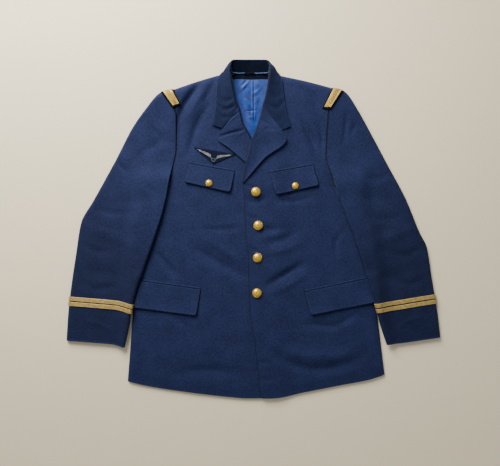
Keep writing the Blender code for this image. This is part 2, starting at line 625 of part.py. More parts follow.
def make_lapel(name, left, surface):
    """A lapel, folded back along the roll line and lying on its front."""
    def under(x, y, left_side):
        return max(front_top(x, y, left_side), surface(x, y, 5.0 * MM))

    roll = path(ROLL_LEFT if left else ROLL_RIGHT)
    edge = path(LAPEL_EDGE_LEFT if left else LAPEL_EDGE_RIGHT)
    high, low = [], []
    rows = 16
    for index in range(rows + 1):
        v = index / rows
        roll_x, roll_y = roll(v)
        edge_x, edge_y = edge(v)
        flat = front_top(roll_x, roll_y, left) + GAP + LAPEL_WALL
        if left:
            above_right = flat - LAPEL_WALL - FRONT_WALL - 4.2 * MM
            roll_low = 4.4 * MM + above_right * smooth_step(-roll_y, -0.236, -0.2195)
            extra = 3.4 * MM * (1.0 - smooth_step(v, 0.55, 1.0)) + 0.3 * MM
        else:
            above_front = flat - LAPEL_WALL - 4.3 * MM
            roll_low = 4.4 * MM + above_front * smooth_step(v, 0.86, 0.97)
            extra = 3.4 * MM * smooth_step(roll_y, 0.223, 0.262)
        row = FallRow(roll_x, roll_y, edge_x, edge_y, flat + extra, roll_low, 0.0, 0.0)
        section = curled_section(row, left, 4, 6, LAPEL_WALL, under, 5.0 * MM, 2.2)
        high.append(place_section(row, section, (0.0, 0.0), 0.0))
        low.append(place_section(row, inside_of(section, LAPEL_WALL), (0.0, 0.0), 0.0))
    return wall(name, "navy_wool", high, low)


def flap_plan(corners):
    """A flap's plan, with its two lower corners rounded."""
    width = math.dist(corners[0], corners[1])
    height = math.dist(corners[1], corners[2])

    def plan(u, v):
        from_end = min(u, 1.0 - u) * width
        short = 0.0
        if from_end < FLAP_CORNER:
            short = FLAP_CORNER * (1.0 - math.sqrt(1.0 - (1.0 - from_end / FLAP_CORNER) ** 2))
        v *= 1.0 - short / height
        return mix(mix(corners[0], corners[1], u), mix(corners[3], corners[2], u), v)

    return plan


FLAP_COLUMNS = [0.0, 0.012, 0.04, 0.085, 0.2, 0.35, 0.5, 0.65, 0.8, 0.915, 0.96, 0.988, 1.0]


def make_flap(name, corners, surface):
    """A pocket flap and the jetting above it."""
    left = corners[0][0] > 0.0

    def under(x, y):
        return max(front_top(x, y, left), surface(x, y, 4.0 * MM))

    def lift(u, v):
        return 0.9 * MM * v * v

    laid_piece(name, "navy_wool", flap_plan(corners), FLAP_COLUMNS, even(4), under, FLAP_WALL, lift)
    along = Vector(corners[1]) - Vector(corners[0])
    up = Vector((-along.y, along.x)).normalized() * (1.0 if left else -1.0)

    def plan(u, v):
        x, y = mix(corners[0], corners[1], u)
        rise = SEAM_GAP + JETTING_WIDTH * (1.0 - v)
        return x + up.x * rise, y + up.y * rise

    laid_piece(name.replace("flap", "jetting"), "navy_wool", plan, even(8), even(1), under, JETTING_WALL)


def sleeve_cover(x, y, left):
    """How high a sleeve's under layer lies: on the floor, and on the front where it crosses it."""
    side = SIDE_LEFT if left else SIDE_RIGHT
    sign = 1.0 if left else -1.0
    past_edge = sign * (x - side_x(side, y))
    over = 1.0 - smooth_step(past_edge, 3.0 * MM, 40.0 * MM)
    over *= smooth_step(-y, -0.155, -0.112)
    flap = 1.0 - smooth_step(abs(y + 0.155), 0.040, 0.065)
    flap *= 1.0 - smooth_step(past_edge, -2.0 * MM, 22.0 * MM)
    body = FRONT_TOP + chest_fullness(x, y)
    return over * (body + 1.6 * MM) + flap * 3.2 * MM


def sleeve_shape(left):
    """A sleeve's plan: across from the outer fold to the inner one, and down from the armhole."""
    rows = SLEEVE_LEFT if left else SLEEVE_RIGHT
    shares = [row.share for row in rows]
    outer = path([(row.outer_x, row.outer_y) for row in rows], shares)
    inner = path([(row.inner_x, row.inner_y) for row in rows], shares)
    armhole = path(ARMHOLE_LEFT if left else ARMHOLE_RIGHT)
    cuff = path(CUFF_LEFT if left else CUFF_RIGHT)
    return patch(armhole, cuff, outer, inner)


def sleeve_ring(left, plan, v, count, grow=0.0):
    """One ring of a sleeve: its outer points and its inner points."""
    width = math.dist(plan(0.0, v), plan(1.0, v))
    outer, inner = [], []
    for k in range(count):
        angle = 2.0 * math.pi * k / count
        across = 0.5 - 0.5 * math.cos(angle)
        head = 1.0 - smooth_step(v, 0.04, 0.20)
        full = turned_down(across * width, SLEEVE_ROUND + (SHOULDER_ROUND - SLEEVE_ROUND) * head)
        full *= turned_down((1.0 - across) * width, SLEEVE_ROUND)
        upper = math.sin(angle) >= -1e-9
        share = across + grow / width * (2.0 * across - 1.0)
        x, y = mix(plan(0.0, v), plan(1.0, v), share) if not 0.0 <= share <= 1.0 else plan(share, v)
        rest = sleeve_cover(x, y, left)
        thick = SLEEVE_TOP + shoulder_rise(x, y) * (1.0 - smooth_step(v, 0.10, 0.42))
        thick += fold_height(SLEEVE_FOLDS, x, y)
        top = rest + EDGE_TOP + (thick - EDGE_TOP) * full + grow
        bottom = rest + EDGE_TOP * (1.0 - full)
        outer.append((x, y, top if upper else bottom))
        inset = min(4.0 * MM / width, 0.2)
        share = inset + across * (1.0 - 2.0 * inset)
        x, y = plan(share, v)
        floor = sleeve_cover(x, y, left) + SLEEVE_UNDER_WALL + 0.6 * MM * (1.0 - full)
        inner.append((x, y, floor + (SLEEVE_HOLLOW * full if upper else 0.0)))
    return outer, inner


SLEEVE_STATIONS = [0.0, 0.02, 0.045, 0.08, 0.13, 0.19, 0.25, 0.31, 0.38, 0.46, 0.54, 0.61, 0.68, 0.76,
                   0.84, 0.92, 1.0]
SLEEVE_ROUND = 9.0 * MM


def make_sleeve(name, left):
    plan = sleeve_shape(left)
    rings = [sleeve_ring(left, plan, v, SLEEVE_COUNT) for v in SLEEVE_STATIONS]
    return ring_wall(name, "navy_wool", [ring[0] for ring in rings], [ring[1] for ring in rings])


def share_above_cuff(plan, across, distance):
    """The share down the sleeve at which its cloth is a distance above the cuff's edge."""
    cuff = plan(across, 1.0)
    above, below = 0.5, 1.0
    for _ in range(24):
        middle = (above + below) / 2
        if math.dist(plan(across, middle), cuff) > distance:
            above = middle
        else:
            below = middle
    return (above + below) / 2


def make_braid(name, left, outer_distance, inner_distance):
    """A ring of flat braid over the sleeve's upper side, from fold to fold."""
    plan = sleeve_shape(left)
    points = []
    half = SLEEVE_COUNT // 2
    for end in (0.0, BRAID_WIDTH):
        points.append([])
        for k in range(half + 1):
            across = 0.5 - 0.5 * math.cos(math.pi * k / half)
            distance = outer_distance + (inner_distance - outer_distance) * across + end
            v = share_above_cuff(plan, across, distance)
            outer, _ = sleeve_ring(left, plan, v, SLEEVE_COUNT, grow=0.7 * MM)
            beyond, _ = sleeve_ring(left, plan, v, SLEEVE_COUNT, grow=1.7 * MM)
            points[-1].append((outer[k], beyond[k]))
    high = [[pair[1] for pair in row] for row in points]
    low = [[pair[0] for pair in row] for row in points]
    return wall(name, "gold_lace", high, low)


def height_over(things):
    """Return a function that gives the highest point of some finished objects near (x, y)."""
    trees = []
    for thing in things:
        shape = bmesh.new()
        shape.from_mesh(thing.data)
        trees.append(BVHTree.FromBMesh(shape))
        shape.free()
    above = 0.2

    def read(x, y, around=0.0):
        best = 0.0
        turns = [2.0 * math.pi * k / 8 for k in range(8)]
        steps = [(0.0, 0.0)] + [(around * math.cos(turn), around * math.sin(turn)) for turn in turns]
        for dx, dy in steps:
            for tree in trees:
                hit = tree.ray_cast(Vector((x + dx, y + dy, above)), Vector((0.0, 0.0, -1.0)))[0]
                best = max(best, hit.z if hit else 0.0)
        return best

    return read


def make_bar(side, corners, surface):
    """A shoulder bar: the black backing and the gold lace on it, turned down over the shoulder."""
    outer_front, outer_back, inner_back, inner_front = [Vector(corner) for corner in corners]
    along = (outer_front + outer_back - inner_front - inner_back).normalized()
    across = (outer_back - outer_front).normalized()
    for piece, finish, margin, thickness in (
        ("bar_backing", "black_felt", 2.4 * MM, 1.0 * MM),
        ("bar_lace", "gold_lace", 0.0, 1.3 * MM),
    ):
        def plan(u, v, margin=margin):
            start = mix(inner_front - along * margin, outer_front, v)
            end = mix(inner_back - along * margin, outer_back, v)
            x, y = mix(start, end, u)
            shift = across * margin * (2.0 * u - 1.0)
            return x + shift.x, y + shift.y

        def under(x, y, surface=surface):
            return surface(x, y, 4.0 * MM) + 0.2 * MM

        strip = laid_piece(f"{piece}_{side}", finish, plan, even(4), even(8), under, thickness)
        surface = height_over([strip])


def make_badge_backing(surface):
    """The badge's felt backing, a shallow triangle with its point down."""
    def plan(u, v):
        top = mix(BADGE[0], BADGE[1], u)
        low = mix(BADGE[0], BADGE[2], 2.0 * u) if u < 0.5 else mix(BADGE[2], BADGE[1], 2.0 * u - 1.0)
        return mix((top[0], top[1] + 1.5 * MM), low, v)

    def under(x, y):
        return surface(x, y, 3.0 * MM)

    laid_piece("badge_backing", "black_felt", plan, even(10), even(2), under, 1.4 * MM)


BUTTON_PROFILE = [
    (0.000, 0.640), (0.300, 0.615), (0.560, 0.540), (0.780, 0.420), (0.930, 0.280), (1.000, 0.170),
    (0.985, 0.110), (0.900, 0.085), (0.280, 0.085), (0.280, 0.000), (0.000, 0.000),
]


def make_button(name, x, y, radius, surface, steps):
    """A domed button on a short shank, turned from its profile."""
    shape = bmesh.new()
    points = [shape.verts.new((r * radius, 0.0, z * radius)) for r, z in BUTTON_PROFILE]
    for a, b in zip(points, points[1:]):
        shape.edges.new((a, b))
    mesh = bpy.data.meshes.new(name)
    shape.to_mesh(mesh)
    shape.free()
    button = new_object(name, mesh, "gilt_button")
    button.location = (x, y, surface(x, y, 3.0 * MM) + GAP)
    turn = button.modifiers.new("Turn", "SCREW")
    turn.steps = steps
    turn.render_steps = steps
    turn.use_merge_vertices = True
    turn.merge_threshold = 0.00001
    return button


def make_materials():
    result = {}
    for name, finish in FINISHES.items():
        material = bpy.data.materials.new(name)
        material.use_nodes = True
        shader = material.node_tree.nodes["Principled BSDF"]
        shader.inputs["Base Color"].default_value = (*finish.color, 1.0)
        shader.inputs["Roughness"].default_value = finish.roughness
        shader.inputs["Metallic"].default_value = finish.metallic
        material.diffuse_color = (*finish.color, 1.0)
        result[name] = material
    return result


for old in list(bpy.data.objects):
    bpy.data.objects.remove(old, do_unlink=True)
PARTS = bpy.data.collections.new(COLLECTION)
bpy.context.scene.collection.children.link(PARTS)
MATERIALS = make_materials()

make_back("back_right", left=False)
make_back("back_left", left=True)
make_lining()
fronts = [make_front("front_right", left=False), make_front("front_left", left=True)]
front_surface = height_over(fronts)
make_lapel("lapel_right", left=False, surface=height_over(fronts[:1]))
make_lapel("lapel_left", left=True, surface=height_over(fronts[1:]))
make_collar_fall(front_surface)
make_collar_stand()
make_hanger_loop()
for flap_name, flap_corners in FLAPS.items():
    make_flap(flap_name, flap_corners, front_surface)
sleeves = [make_sleeve("sleeve_right", left=False), make_sleeve("sleeve_left", left=True)]
for side_name, rings in BRAID_RINGS.items():
    for number, (outer_gap, inner_gap) in enumerate(rings, start=1):
        make_braid(f"cuff_braid_{side_name}_{number}", side_name == "left", outer_gap, inner_gap)
shoulder_surface = height_over(fronts + sleeves)
for side_name, bar_corners in BARS.items():
    make_bar(side_name, bar_corners, shoulder_surface)
make_badge_backing(front_surface)
for number, (button_x, button_y) in enumerate(FRONT_BUTTONS, start=1):
    make_button(f"front_button_{number}", button_x, button_y, FRONT_BUTTON_RADIUS, front_surface, 20)
flaps = [bpy.data.objects["chest_flap_right"], bpy.data.objects["chest_flap_left"]]
flap_surface = height_over(flaps)
for button_name, (button_x, button_y) in CHEST_BUTTONS.items():
    make_button(button_name, button_x, button_y, CHEST_BUTTON_RADIUS, flap_surface, 16)
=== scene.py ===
"""A single-breasted uniform jacket, laid out flat and face up.

+X is the wearer's left, +Y is towards the collar and +Z is up. Lengths are in metres. Right and left in
every name are the wearer's.
"""

import logging
import math
from dataclasses import dataclass, field
from enum import Enum
from typing import Any, Callable, NamedTuple

import bmesh
import bpy
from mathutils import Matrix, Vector, noise
from mathutils.bvhtree import BVHTree

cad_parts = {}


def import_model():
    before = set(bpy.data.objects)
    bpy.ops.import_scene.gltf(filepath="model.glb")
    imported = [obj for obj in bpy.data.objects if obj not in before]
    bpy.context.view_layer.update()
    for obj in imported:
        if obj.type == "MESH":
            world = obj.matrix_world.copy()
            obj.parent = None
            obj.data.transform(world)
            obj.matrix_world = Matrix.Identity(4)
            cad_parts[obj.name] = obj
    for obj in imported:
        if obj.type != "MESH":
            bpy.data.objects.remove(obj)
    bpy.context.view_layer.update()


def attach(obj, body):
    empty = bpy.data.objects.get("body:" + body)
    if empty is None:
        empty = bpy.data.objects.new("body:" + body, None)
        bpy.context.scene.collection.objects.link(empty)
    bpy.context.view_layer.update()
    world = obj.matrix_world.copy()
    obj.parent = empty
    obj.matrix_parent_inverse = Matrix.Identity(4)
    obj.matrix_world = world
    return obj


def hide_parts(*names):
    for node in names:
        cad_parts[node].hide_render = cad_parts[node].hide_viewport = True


LOG = logging.getLogger("uniform_jacket")
MM = 0.001
TENTHS = 10_000

Point = tuple[float, ...]
Line = Callable[[float], Point]
Plan = Callable[[float, float], Point]
Grid = list[list[Point]]
Color = tuple[float, float, float]

GAP = 0.4 * MM
SEAM_GAP = 0.5 * MM
BACK_WALL = 2.5 * MM
LINING_WALL = 1.0 * MM
FRONT_WALL = 3.0 * MM
LAPEL_WALL = 2.6 * MM
FALL_WALL = 2.4 * MM
STAND_WALL = 2.0 * MM
FLAP_WALL = 2.2 * MM
JETTING_WALL = 1.0 * MM
SLEEVE_UNDER_WALL = 2.2 * MM
SLEEVE_HOLLOW = 3.4 * MM
FRONT_TOP = 7.3 * MM
LINING_TOP = 3.8 * MM
SLEEVE_TOP = 9.2 * MM
SHOULDER_RISE = 12.0 * MM
CHEST_RISE = 2.2 * MM
LAP_RISE = 3.6 * MM
EDGE_TOP = 3.0 * MM
SHOULDER_ROUND = 17.0 * MM
SIDE_ROUND = 13.0 * MM
SLEEVE_ROUND = 9.0 * MM
UNDERARM_Y = 0.0980
BODY_LENGTH = 0.75
FRONT_GRAIN = 3.0
SLEEVE_GRAIN = 22.0
SLEEVE_LENGTH = 0.62
# A pale worn line and a painted shade outline along the edges of laid wool pieces.
EDGE_WEAR_AND_SHADE = 0.8
# Painted shade along the fronts' inner edges.
FRONT_EDGE_SHADE = 0.7
# Painted shade along the sleeves' inner folds, over the upper half and fading out three quarters of the way
# down.
UNDERARM_SHADE = 0.9
PLAIN_TONE = 0.5
SILVER_TONE = 0.72
# Painted shade that grows down the sleeves, full from three quarters of the way to the cuff.
SLEEVE_SHADE = 0.38


class SleeveRow(NamedTuple):
    """Where one row of a sleeve starts on the outer fold and ends on the inner fold."""

    share: float
    outer_x: float
    outer_y: float
    inner_x: float
    inner_y: float


class FallRow(NamedTuple):
    """One section of the collar or a lapel: its roll, its outer edge, the roll's height and its end."""

    roll_x: float
    roll_y: float
    edge_x: float
    edge_y: float
    roll_top: float
    roll_low: float
    tuck: float
    lap: float

    @property
    def roll(self) -> Point:
        """Return the roll's place in the plan."""
        return self.roll_x, self.roll_y

    @property
    def edge(self) -> Point:
        """Return the outer edge's place in the plan."""
        return self.edge_x, self.edge_y

    @property
    def reach(self) -> float:
        """Return the distance from the roll to the outer edge."""
        return math.dist(self.roll, self.edge)


class Fold(NamedTuple):
    """One large fold: where its middle is, half its length and width, its direction and its height."""

    x: float
    y: float
    half_length: float
    half_width: float
    degrees: float
    height: float


class Crease(NamedTuple):
    """One soft crease along a bent line. A negative height is a trough."""

    half_width: float
    height: float
    line: list[Point]


def outline(*tenths: int) -> list[Point]:
    """Return points from their x and y in turn, in tenths of a millimetre."""
    return [(x / TENTHS, y / TENTHS) for x, y in zip(tenths[::2], tenths[1::2])]


def table(kind: Callable[..., Any], scales: tuple[int, ...], *rows: tuple[int, ...]) -> list[Any]:
    """Return rows of whole numbers as things of a kind, each number divided by its column's scale."""
    return [kind(*(number / scale for number, scale in zip(row, scales))) for row in rows]


def creases(*rows: tuple[int, ...]) -> list[Crease]:
    """Return creases from half widths, heights and points in turn, in tenths of a millimetre."""
    return [Crease(row[0] / TENTHS, row[1] / TENTHS, outline(*row[2:])) for row in rows]


SLEEVE_SCALES = (100, TENTHS, TENTHS, TENTHS, TENTHS)
FALL_SCALES = (TENTHS,) * 6 + (10, TENTHS)
FOLD_SCALES = (TENTHS,) * 4 + (1, TENTHS)

ROLL_RIGHT = outline(-325, 2872, -245, 2540, -148, 2346, -50, 2173, 55, 1950, 190, 1580, 300, 1180)
ROLL_LEFT = outline(
    206, 2891, 150, 2660, 45, 2336, -13, 2165, -62, 2086, -129, 1758, -222, 1430, -271, 1105)
LAPEL_EDGE_RIGHT = outline(-738, 2361, -843, 2136, -554, 1884, -283, 1653, 20, 1370, 270, 1160)
LAPEL_EDGE_LEFT = outline(662, 2310, 769, 2101, 257, 1648, -235, 1085)
FRONT_EDGE_RIGHT = outline(340, 1040, 300, 222, 300, -1653, 339, -3060, 400, -3965)
FRONT_EDGE_LEFT = outline(
    -262, 1060, -228, 752, -204, 282, -183, -167, -136, -613, -127, -1060, -104, -1508, -92, -1866, 27,
    -2691, 107, -3381, 160, -3880, 215, -3965)
NECK_RIGHT = outline(-692, 3664, -668, 3551, -590, 3410, -500, 3190)
NECK_LEFT = outline(548, 3634, 524, 3540, 438, 3400, 350, 3170)
SIDE_RIGHT = outline(
    -2237, 831, -2495, 620, -2682, 105, -2764, -715, -2811, -1417, -2848, -2038, -2905, -2823, -2963, -3572)
SIDE_LEFT = outline(2166, 831, 2423, 620, 2634, 105, 2751, -715, 2833, -1417, 2938, -2242, 3086, -3417)
HEM_RIGHT = outline(400, -3965, -152, -3972, -505, -3946, -1609, -3817, -2525, -3676, -2963, -3572)
HEM_LEFT = outline(215, -3965, 505, -3958, 1256, -3817, 1984, -3676, 2712, -3535, 3086, -3417)
ARMHOLE_RIGHT = outline(
    -1842, 3296, -1851, 2833, -1806, 2657, -1820, 1878, -1912, 1430, -1986, 1041, -2038, 756)
ARMHOLE_LEFT = outline(
    1856, 3318, 1798, 3032, 1751, 2685, 1721, 2177, 1707, 1758, 1840, 1280, 1915, 1018, 1945, 849)
CUFF_RIGHT = outline(-4402, -2610, -3823, -2650, -3344, -2690, -3010, -2760)
CUFF_LEFT = outline(4397, -2530, 4024, -2585, 3554, -2655, 3114, -2697)
SLEEVE_RIGHT = table(
    SleeveRow, SLEEVE_SCALES,
    (0, -1842, 3296, -2038, 756), (4, -2030, 3272, -2070, 600), (8, -2180, 3215, -2100, 460),
    (18, -2570, 2780, -2165, 200), (26, -2830, 2420, -2215, 50), (40, -3255, 1607, -2330, -300),
    (53, -3759, 692, -2445, -640), (62, -4060, 150, -2555, -949), (72, -4175, -560, -2718, -1405),
    (82, -4280, -1260, -2805, -1760), (91, -4360, -1960, -2905, -2300), (100, -4402, -2610, -3010, -2760))
SLEEVE_LEFT = table(
    SleeveRow, SLEEVE_SCALES,
    (0, 1856, 3318, 1945, 849), (4, 1985, 3310, 1975, 760), (8, 2140, 3238, 2008, 686),
    (18, 2440, 2820, 2110, 420), (26, 2690, 2390, 2190, 210), (40, 3155, 1522, 2330, -180),
    (53, 3573, 743, 2440, -530), (62, 3904, -59, 2553, -874), (70, 4075, -411, 2680, -1290),
    (81, 4195, -1150, 2830, -1780), (91, 4320, -1900, 2970, -2280), (100, 4397, -2530, 3114, -2697))
COLLAR = table(
    FallRow, FALL_SCALES,
    (-325, 2875, -977, 2441, 170, 44, 0, 0), (-392, 3050, -921, 2634, 205, 44, 0, 0),
    (-440, 3250, -883, 2923, 240, 44, 0, 0), (-480, 3450, -863, 3250, 270, 44, 0, 0),
    (-500, 3600, -838, 3470, 280, 60, 0, 0), (-510, 3720, -785, 3610, 270, 110, 1, 20),
    (-512, 3800, -670, 3755, 250, 170, 8, 30), (-500, 3868, -560, 3895, 220, 180, 10, 40),
    (-450, 3912, -475, 3960, 190, 155, 10, 80), (-350, 3920, -355, 3972, 165, 130, 10, 180),
    (-180, 3922, -181, 3976, 150, 115, 10, 240), (-10, 3923, -10, 3978, 145, 110, 10, 240),
    (150, 3922, 151, 3976, 150, 115, 10, 240), (250, 3917, 262, 3970, 165, 130, 10, 160),
    (315, 3898, 345, 3945, 190, 155, 10, 80), (350, 3850, 410, 3870, 220, 180, 10, 40),
    (360, 3790, 525, 3755, 250, 170, 8, 30), (358, 3705, 620, 3600, 270, 110, 1, 20),
    (345, 3590, 665, 3460, 280, 60, 0, 0), (325, 3440, 690, 3250, 270, 44, 0, 0),
    (295, 3250, 730, 2950, 240, 44, 0, 0), (258, 3070, 790, 2660, 205, 44, 0, 0),
    (206, 2895, 865, 2411, 170, 44, 0, 0))
NOTCH_RIGHT = (-0.0737, 0.2365)
NOTCH_LEFT = (0.0662, 0.2314)
NOTCH_SHARE = 0.62
FALL_CURL = 5.5 * MM
LAPEL_CURL = 5.0 * MM
LAPEL_LIFT = 2.4 * MM
ROLL_RISE = 3.4 * MM
# Painted shade along the rolls of the lapels and the collar.
ROLL_SHADE = 0.8

FLAPS = {
    "chest_flap_right": outline(-440, 1346, -1521, 1543, -1633, 1108, -545, 863),
    "chest_flap_left": outline(368, 1307, 1400, 1503, 1531, 1029, 515, 800),
    "hip_flap_right": outline(-1235, -1410, -2670, -1208, -2830, -1822, -1340, -2018),
    "hip_flap_left": outline(1187, -1471, 2690, -1150, 2850, -1705, 1330, -2010),
}
FLAP_CORNER = 8.0 * MM
JETTING_WIDTH = 4.5 * MM
STITCH_RISE = 0.02 * MM
STITCH_INSET = 4.5 * MM

FRONT_BUTTONS = outline(52, 878, 108, 94, 92, -658, 78, -1482)
CHEST_BUTTONS = {"chest_button_right": (-0.1040, 0.1080), "chest_button_left": (0.0973, 0.1020)}
FRONT_BUTTON_RADIUS = 10.7 * MM
CHEST_BUTTON_RADIUS = 7.7 * MM

BARS = {
    "right": outline(-2138, 3205, -1911, 3262, -1714, 2903, -1876, 2838),
    "left": outline(2075, 3225, 1860, 3292, 1630, 2822, 1792, 2806),
}
BRAID_WIDTH = 9.7 * MM
BRAID_RINGS = {"right": [(0.0822, 0.0818), (0.0942, 0.0938)], "left": [(0.0803, 0.0795), (0.0925, 0.0920)]}
BADGE = outline(-1392, 1912, -430, 1752, -945, 1523)
SPRAY_STEM = outline(38, 0, 100, 72, 240, 118, 415, 172)
SPRAY_LEAVES = ((4, 8, 6.0 * MM, 2.0 * MM), (9, 13, 4.8 * MM, 1.8 * MM), (14, 21, 3.2 * MM, 1.3 * MM))
FRONT_FOLDS = table(
    Fold, FOLD_SCALES,
    (-1500, 2980, 600, 110, 62, -26), (-1130, 2700, 700, 130, 72, -16), (1530, 2950, 450, 110, 115, -24),
    (1380, 2080, 500, 120, 122, -18), (800, -1020, 500, 100, 28, -24), (720, 20, 300, 90, -8, -12),
    (1600, -2160, 700, 140, 12, -20), (-650, -700, 600, 120, -36, -16), (-2150, -650, 400, 110, -55, -14),
    (1500, -3000, 1100, 300, 4, 18), (-1400, -2900, 1000, 320, -6, 16))
SLEEVE_FOLDS = table(
    Fold, FOLD_SCALES,
    (-2430, 1900, 450, 110, 35, -22), (-2850, 650, 600, 140, 12, -20), (-3350, -150, 600, 140, -22, 24),
    (-3450, -1050, 600, 150, -14, -18), (2350, 1850, 450, 110, 145, -22), (2800, 700, 600, 140, 168, -20),
    (3300, -150, 600, 140, 202, 24), (3420, -1050, 600, 150, 196, -18))
FRONT_CREASES = creases(
    (80, -34, -1240, 3420, -1500, 3090, -1660, 2840, -1770, 2520),
    (100, 16, -1120, 3280, -1340, 2960, -1500, 2620),
    (100, -22, -1040, 2920, -1280, 2560, -1430, 2140, -1520, 1720),
    (80, -14, -840, 3560, -1040, 3220, -1160, 2960), (60, -8, -1660, 2620, -1720, 2250, -1700, 1900),
    (90, -22, 1120, 2620, 1320, 2220, 1500, 1760), (90, 12, 1000, 2500, 1180, 2140, 1340, 1800),
    (90, -24, 1120, 3360, 1360, 3100, 1540, 2800), (70, -12, 1520, 2550, 1600, 2050, 1600, 1650),
    (22, -5, -1240, 800, -1215, 450, -1180, 40), (22, -4, -560, 760, -545, 520, -540, 300),
    (22, -5, 1180, 700, 1200, 350, 1210, -40), (50, -13, -210, 1100, -80, 990, 120, 990),
    (50, -12, -160, 340, -20, 260, 140, 260), (50, -10, -120, -420, 0, -490, 140, -490),
    (80, -13, -1180, 10, -800, 0, -260, 40), (60, -9, -340, 1100, -300, 850, -260, 660),
    (60, -13, -120, 700, 40, 640, 300, 740), (70, -13, 500, 690, 920, 660, 1370, 760),
    (100, -19, 120, -100, 340, 0, 600, -20), (120, -20, 290, -340, 600, -260, 970, -120),
    (90, 12, 300, -560, 660, -500, 1100, -340), (90, -23, 300, -1340, 620, -1130, 1120, -830),
    (90, 14, 440, -1500, 800, -1320, 1260, -1040), (80, -14, 2050, -100, 1920, -340, 1960, -600),
    (90, -22, -2280, -540, -2080, -800, -1880, -1100), (90, 12, -2120, -480, -1900, -760, -1700, -980),
    (140, -28, -1420, -400, -960, -700, -220, -1120), (110, 13, -1220, -160, -800, -440, -300, -740),
    (100, -14, -1780, -2120, -1580, -2260, -1500, -2460),
    (140, -16, -1840, -3380, -1100, -3300, -280, -3360), (90, -19, 1320, -2220, 1820, -2280, 2380, -2020),
    (140, -21, 300, -2760, 700, -3080, 1520, -3290, 2440, -3070, 2760, -2760),
    (130, 13, 600, -2720, 1100, -2960, 1900, -2980, 2500, -2680),
    (60, -8, 120, -3160, 260, -3100, 420, -3120), (60, -7, 140, -3500, 320, -3520, 500, -3460),
    (70, -8, -2400, -2700, -2220, -3000, -2180, -3360))
SLEEVE_CREASES = creases(
    (70, -13, -2380, 2360, -2240, 2240, -2080, 2060), (60, -9, -2220, 2780, -2140, 2560, -2020, 2400),
    (60, 7, -2460, 1780, -2220, 1840, -1960, 1920), (80, -16, -3300, 1660, -3140, 1500, -2960, 1340),
    (80, -11, -2620, 1200, -2460, 980, -2220, 840), (100, -12, -3660, 480, -3300, 380, -2900, 400),
    (100, -10, -3980, -340, -3640, -520, -3260, -500), (110, -10, -4040, -1240, -3660, -1400, -3180, -1320),
    (60, 6, -3920, -2140, -3600, -2220, -3320, -2400), (70, -12, 2170, 2720, 2150, 2400, 2120, 2040),
    (60, -9, 2400, 2520, 2320, 2320, 2220, 2160), (80, -10, 1960, 1660, 2160, 1500, 2400, 1420),
    (90, -12, 3120, 1280, 2920, 1180, 2620, 1220), (100, -11, 3520, 360, 3200, 240, 2760, 300),
    (100, -11, 3920, -440, 3560, -600, 3100, -520), (100, -10, 4040, -1120, 3660, -1280, 3200, -1180),
    (60, 6, 3980, -2040, 3660, -2120, 3380, -2320))
LEAF_CREASES = creases(
    (40, -12, -840, 3100, -620, 3060, -400, 3090), (40, -16, -920, 2920, -640, 2910, -360, 2940),
    (30, -10, -880, 2760, -680, 2780, -500, 2760), (36, -15, -500, 2640, -400, 2690, -260, 2790),
    (40, -18, -800, 2170, -465, 2284, -110, 2370), (40, -10, 300, 3200, 500, 3150, 700, 3180),
    (38, -13, 260, 2990, 500, 2960, 760, 3010), (30, -9, 300, 2770, 440, 2730, 640, 2770),
    (42, -20, 80, 2650, 260, 2510, 440, 2360), (40, -9, 180, 2280, 300, 2360, 520, 2330),
    (30, 5, -700, 3330, -580, 3300, -500, 3320), (30, 5, 360, 3460, 480, 3420, 600, 3440))
LINING_CREASES = creases(
    (16, -9, 4, 3600, 6, 3000, 4, 2300), (22, 8, -28, 3580, -24, 3000, -16, 2300),
    (30, 9, -414, 3214, -280, 3300, -80, 3520), (24, -7, -400, 3330, -270, 3400, -140, 3540),
    (26, 8, -330, 3080, -200, 3050, -60, 2860), (24, -6, -300, 2960, -180, 2930, -60, 2760),
    (30, 9, 24, 3200, 150, 3300, 290, 3500), (24, -7, 50, 3120, 170, 3200, 290, 3360),
    (22, 7, 50, 3000, 130, 3060, 230, 3210), (18, -8, -252, 2800, -20, 2790, 162, 2860),
    (22, 6, -160, 2600, -60, 2640, 30, 2560))


def smooth_step(value: float, start: float = 0.0, end: float = 1.0) -> float:
    """Return 0 before start, 1 after end and a smooth rise between."""
    share = min(max((value - start) / (end - start), 0.0), 1.0)
    return share * share * (3.0 - 2.0 * share)


def mix(a: Point, b: Point, share: float) -> Point:
    """Return the point at a share of the way from a to b."""
    return tuple(p + (q - p) * share for p, q in zip(a, b))


def turned_down(distance: float, radius: float) -> float:
    """Return the share of full height at a distance from a rounded edge."""
    return math.sqrt(max(1.0 - (1.0 - min(max(distance, 0.0) / radius, 1.0)) ** 2, 0.0))


def shares_of_length(points: list[Point]) -> list[float]:
    """Return how far along its line each point is, from 0 to 1."""
    lengths = [0.0]
    for a, b in zip(points, points[1:]):
        lengths.append(lengths[-1] + math.dist(a, b))
    return [length / lengths[-1] for length in lengths]


def shares_of_fall(points: list[Point]) -> list[float]:
    """Return how far down each point is, from the first to the last one."""
    top, bottom = points[0][1], points[-1][1]
    return [(top - point[1]) / (top - bottom) for point in points]


def slopes_of(shares: list[float], values: Point) -> list[float]:
    """Return slopes that keep a curve through the values from overshooting."""
    steps = [(b - a) / (t - s) for s, t, a, b in zip(shares, shares[1:], values, values[1:])]
    inner = [2.0 * a * b / (a + b) if a * b > 0.0 else 0.0 for a, b in zip(steps, steps[1:])]
    return [steps[0], *inner, steps[-1]]


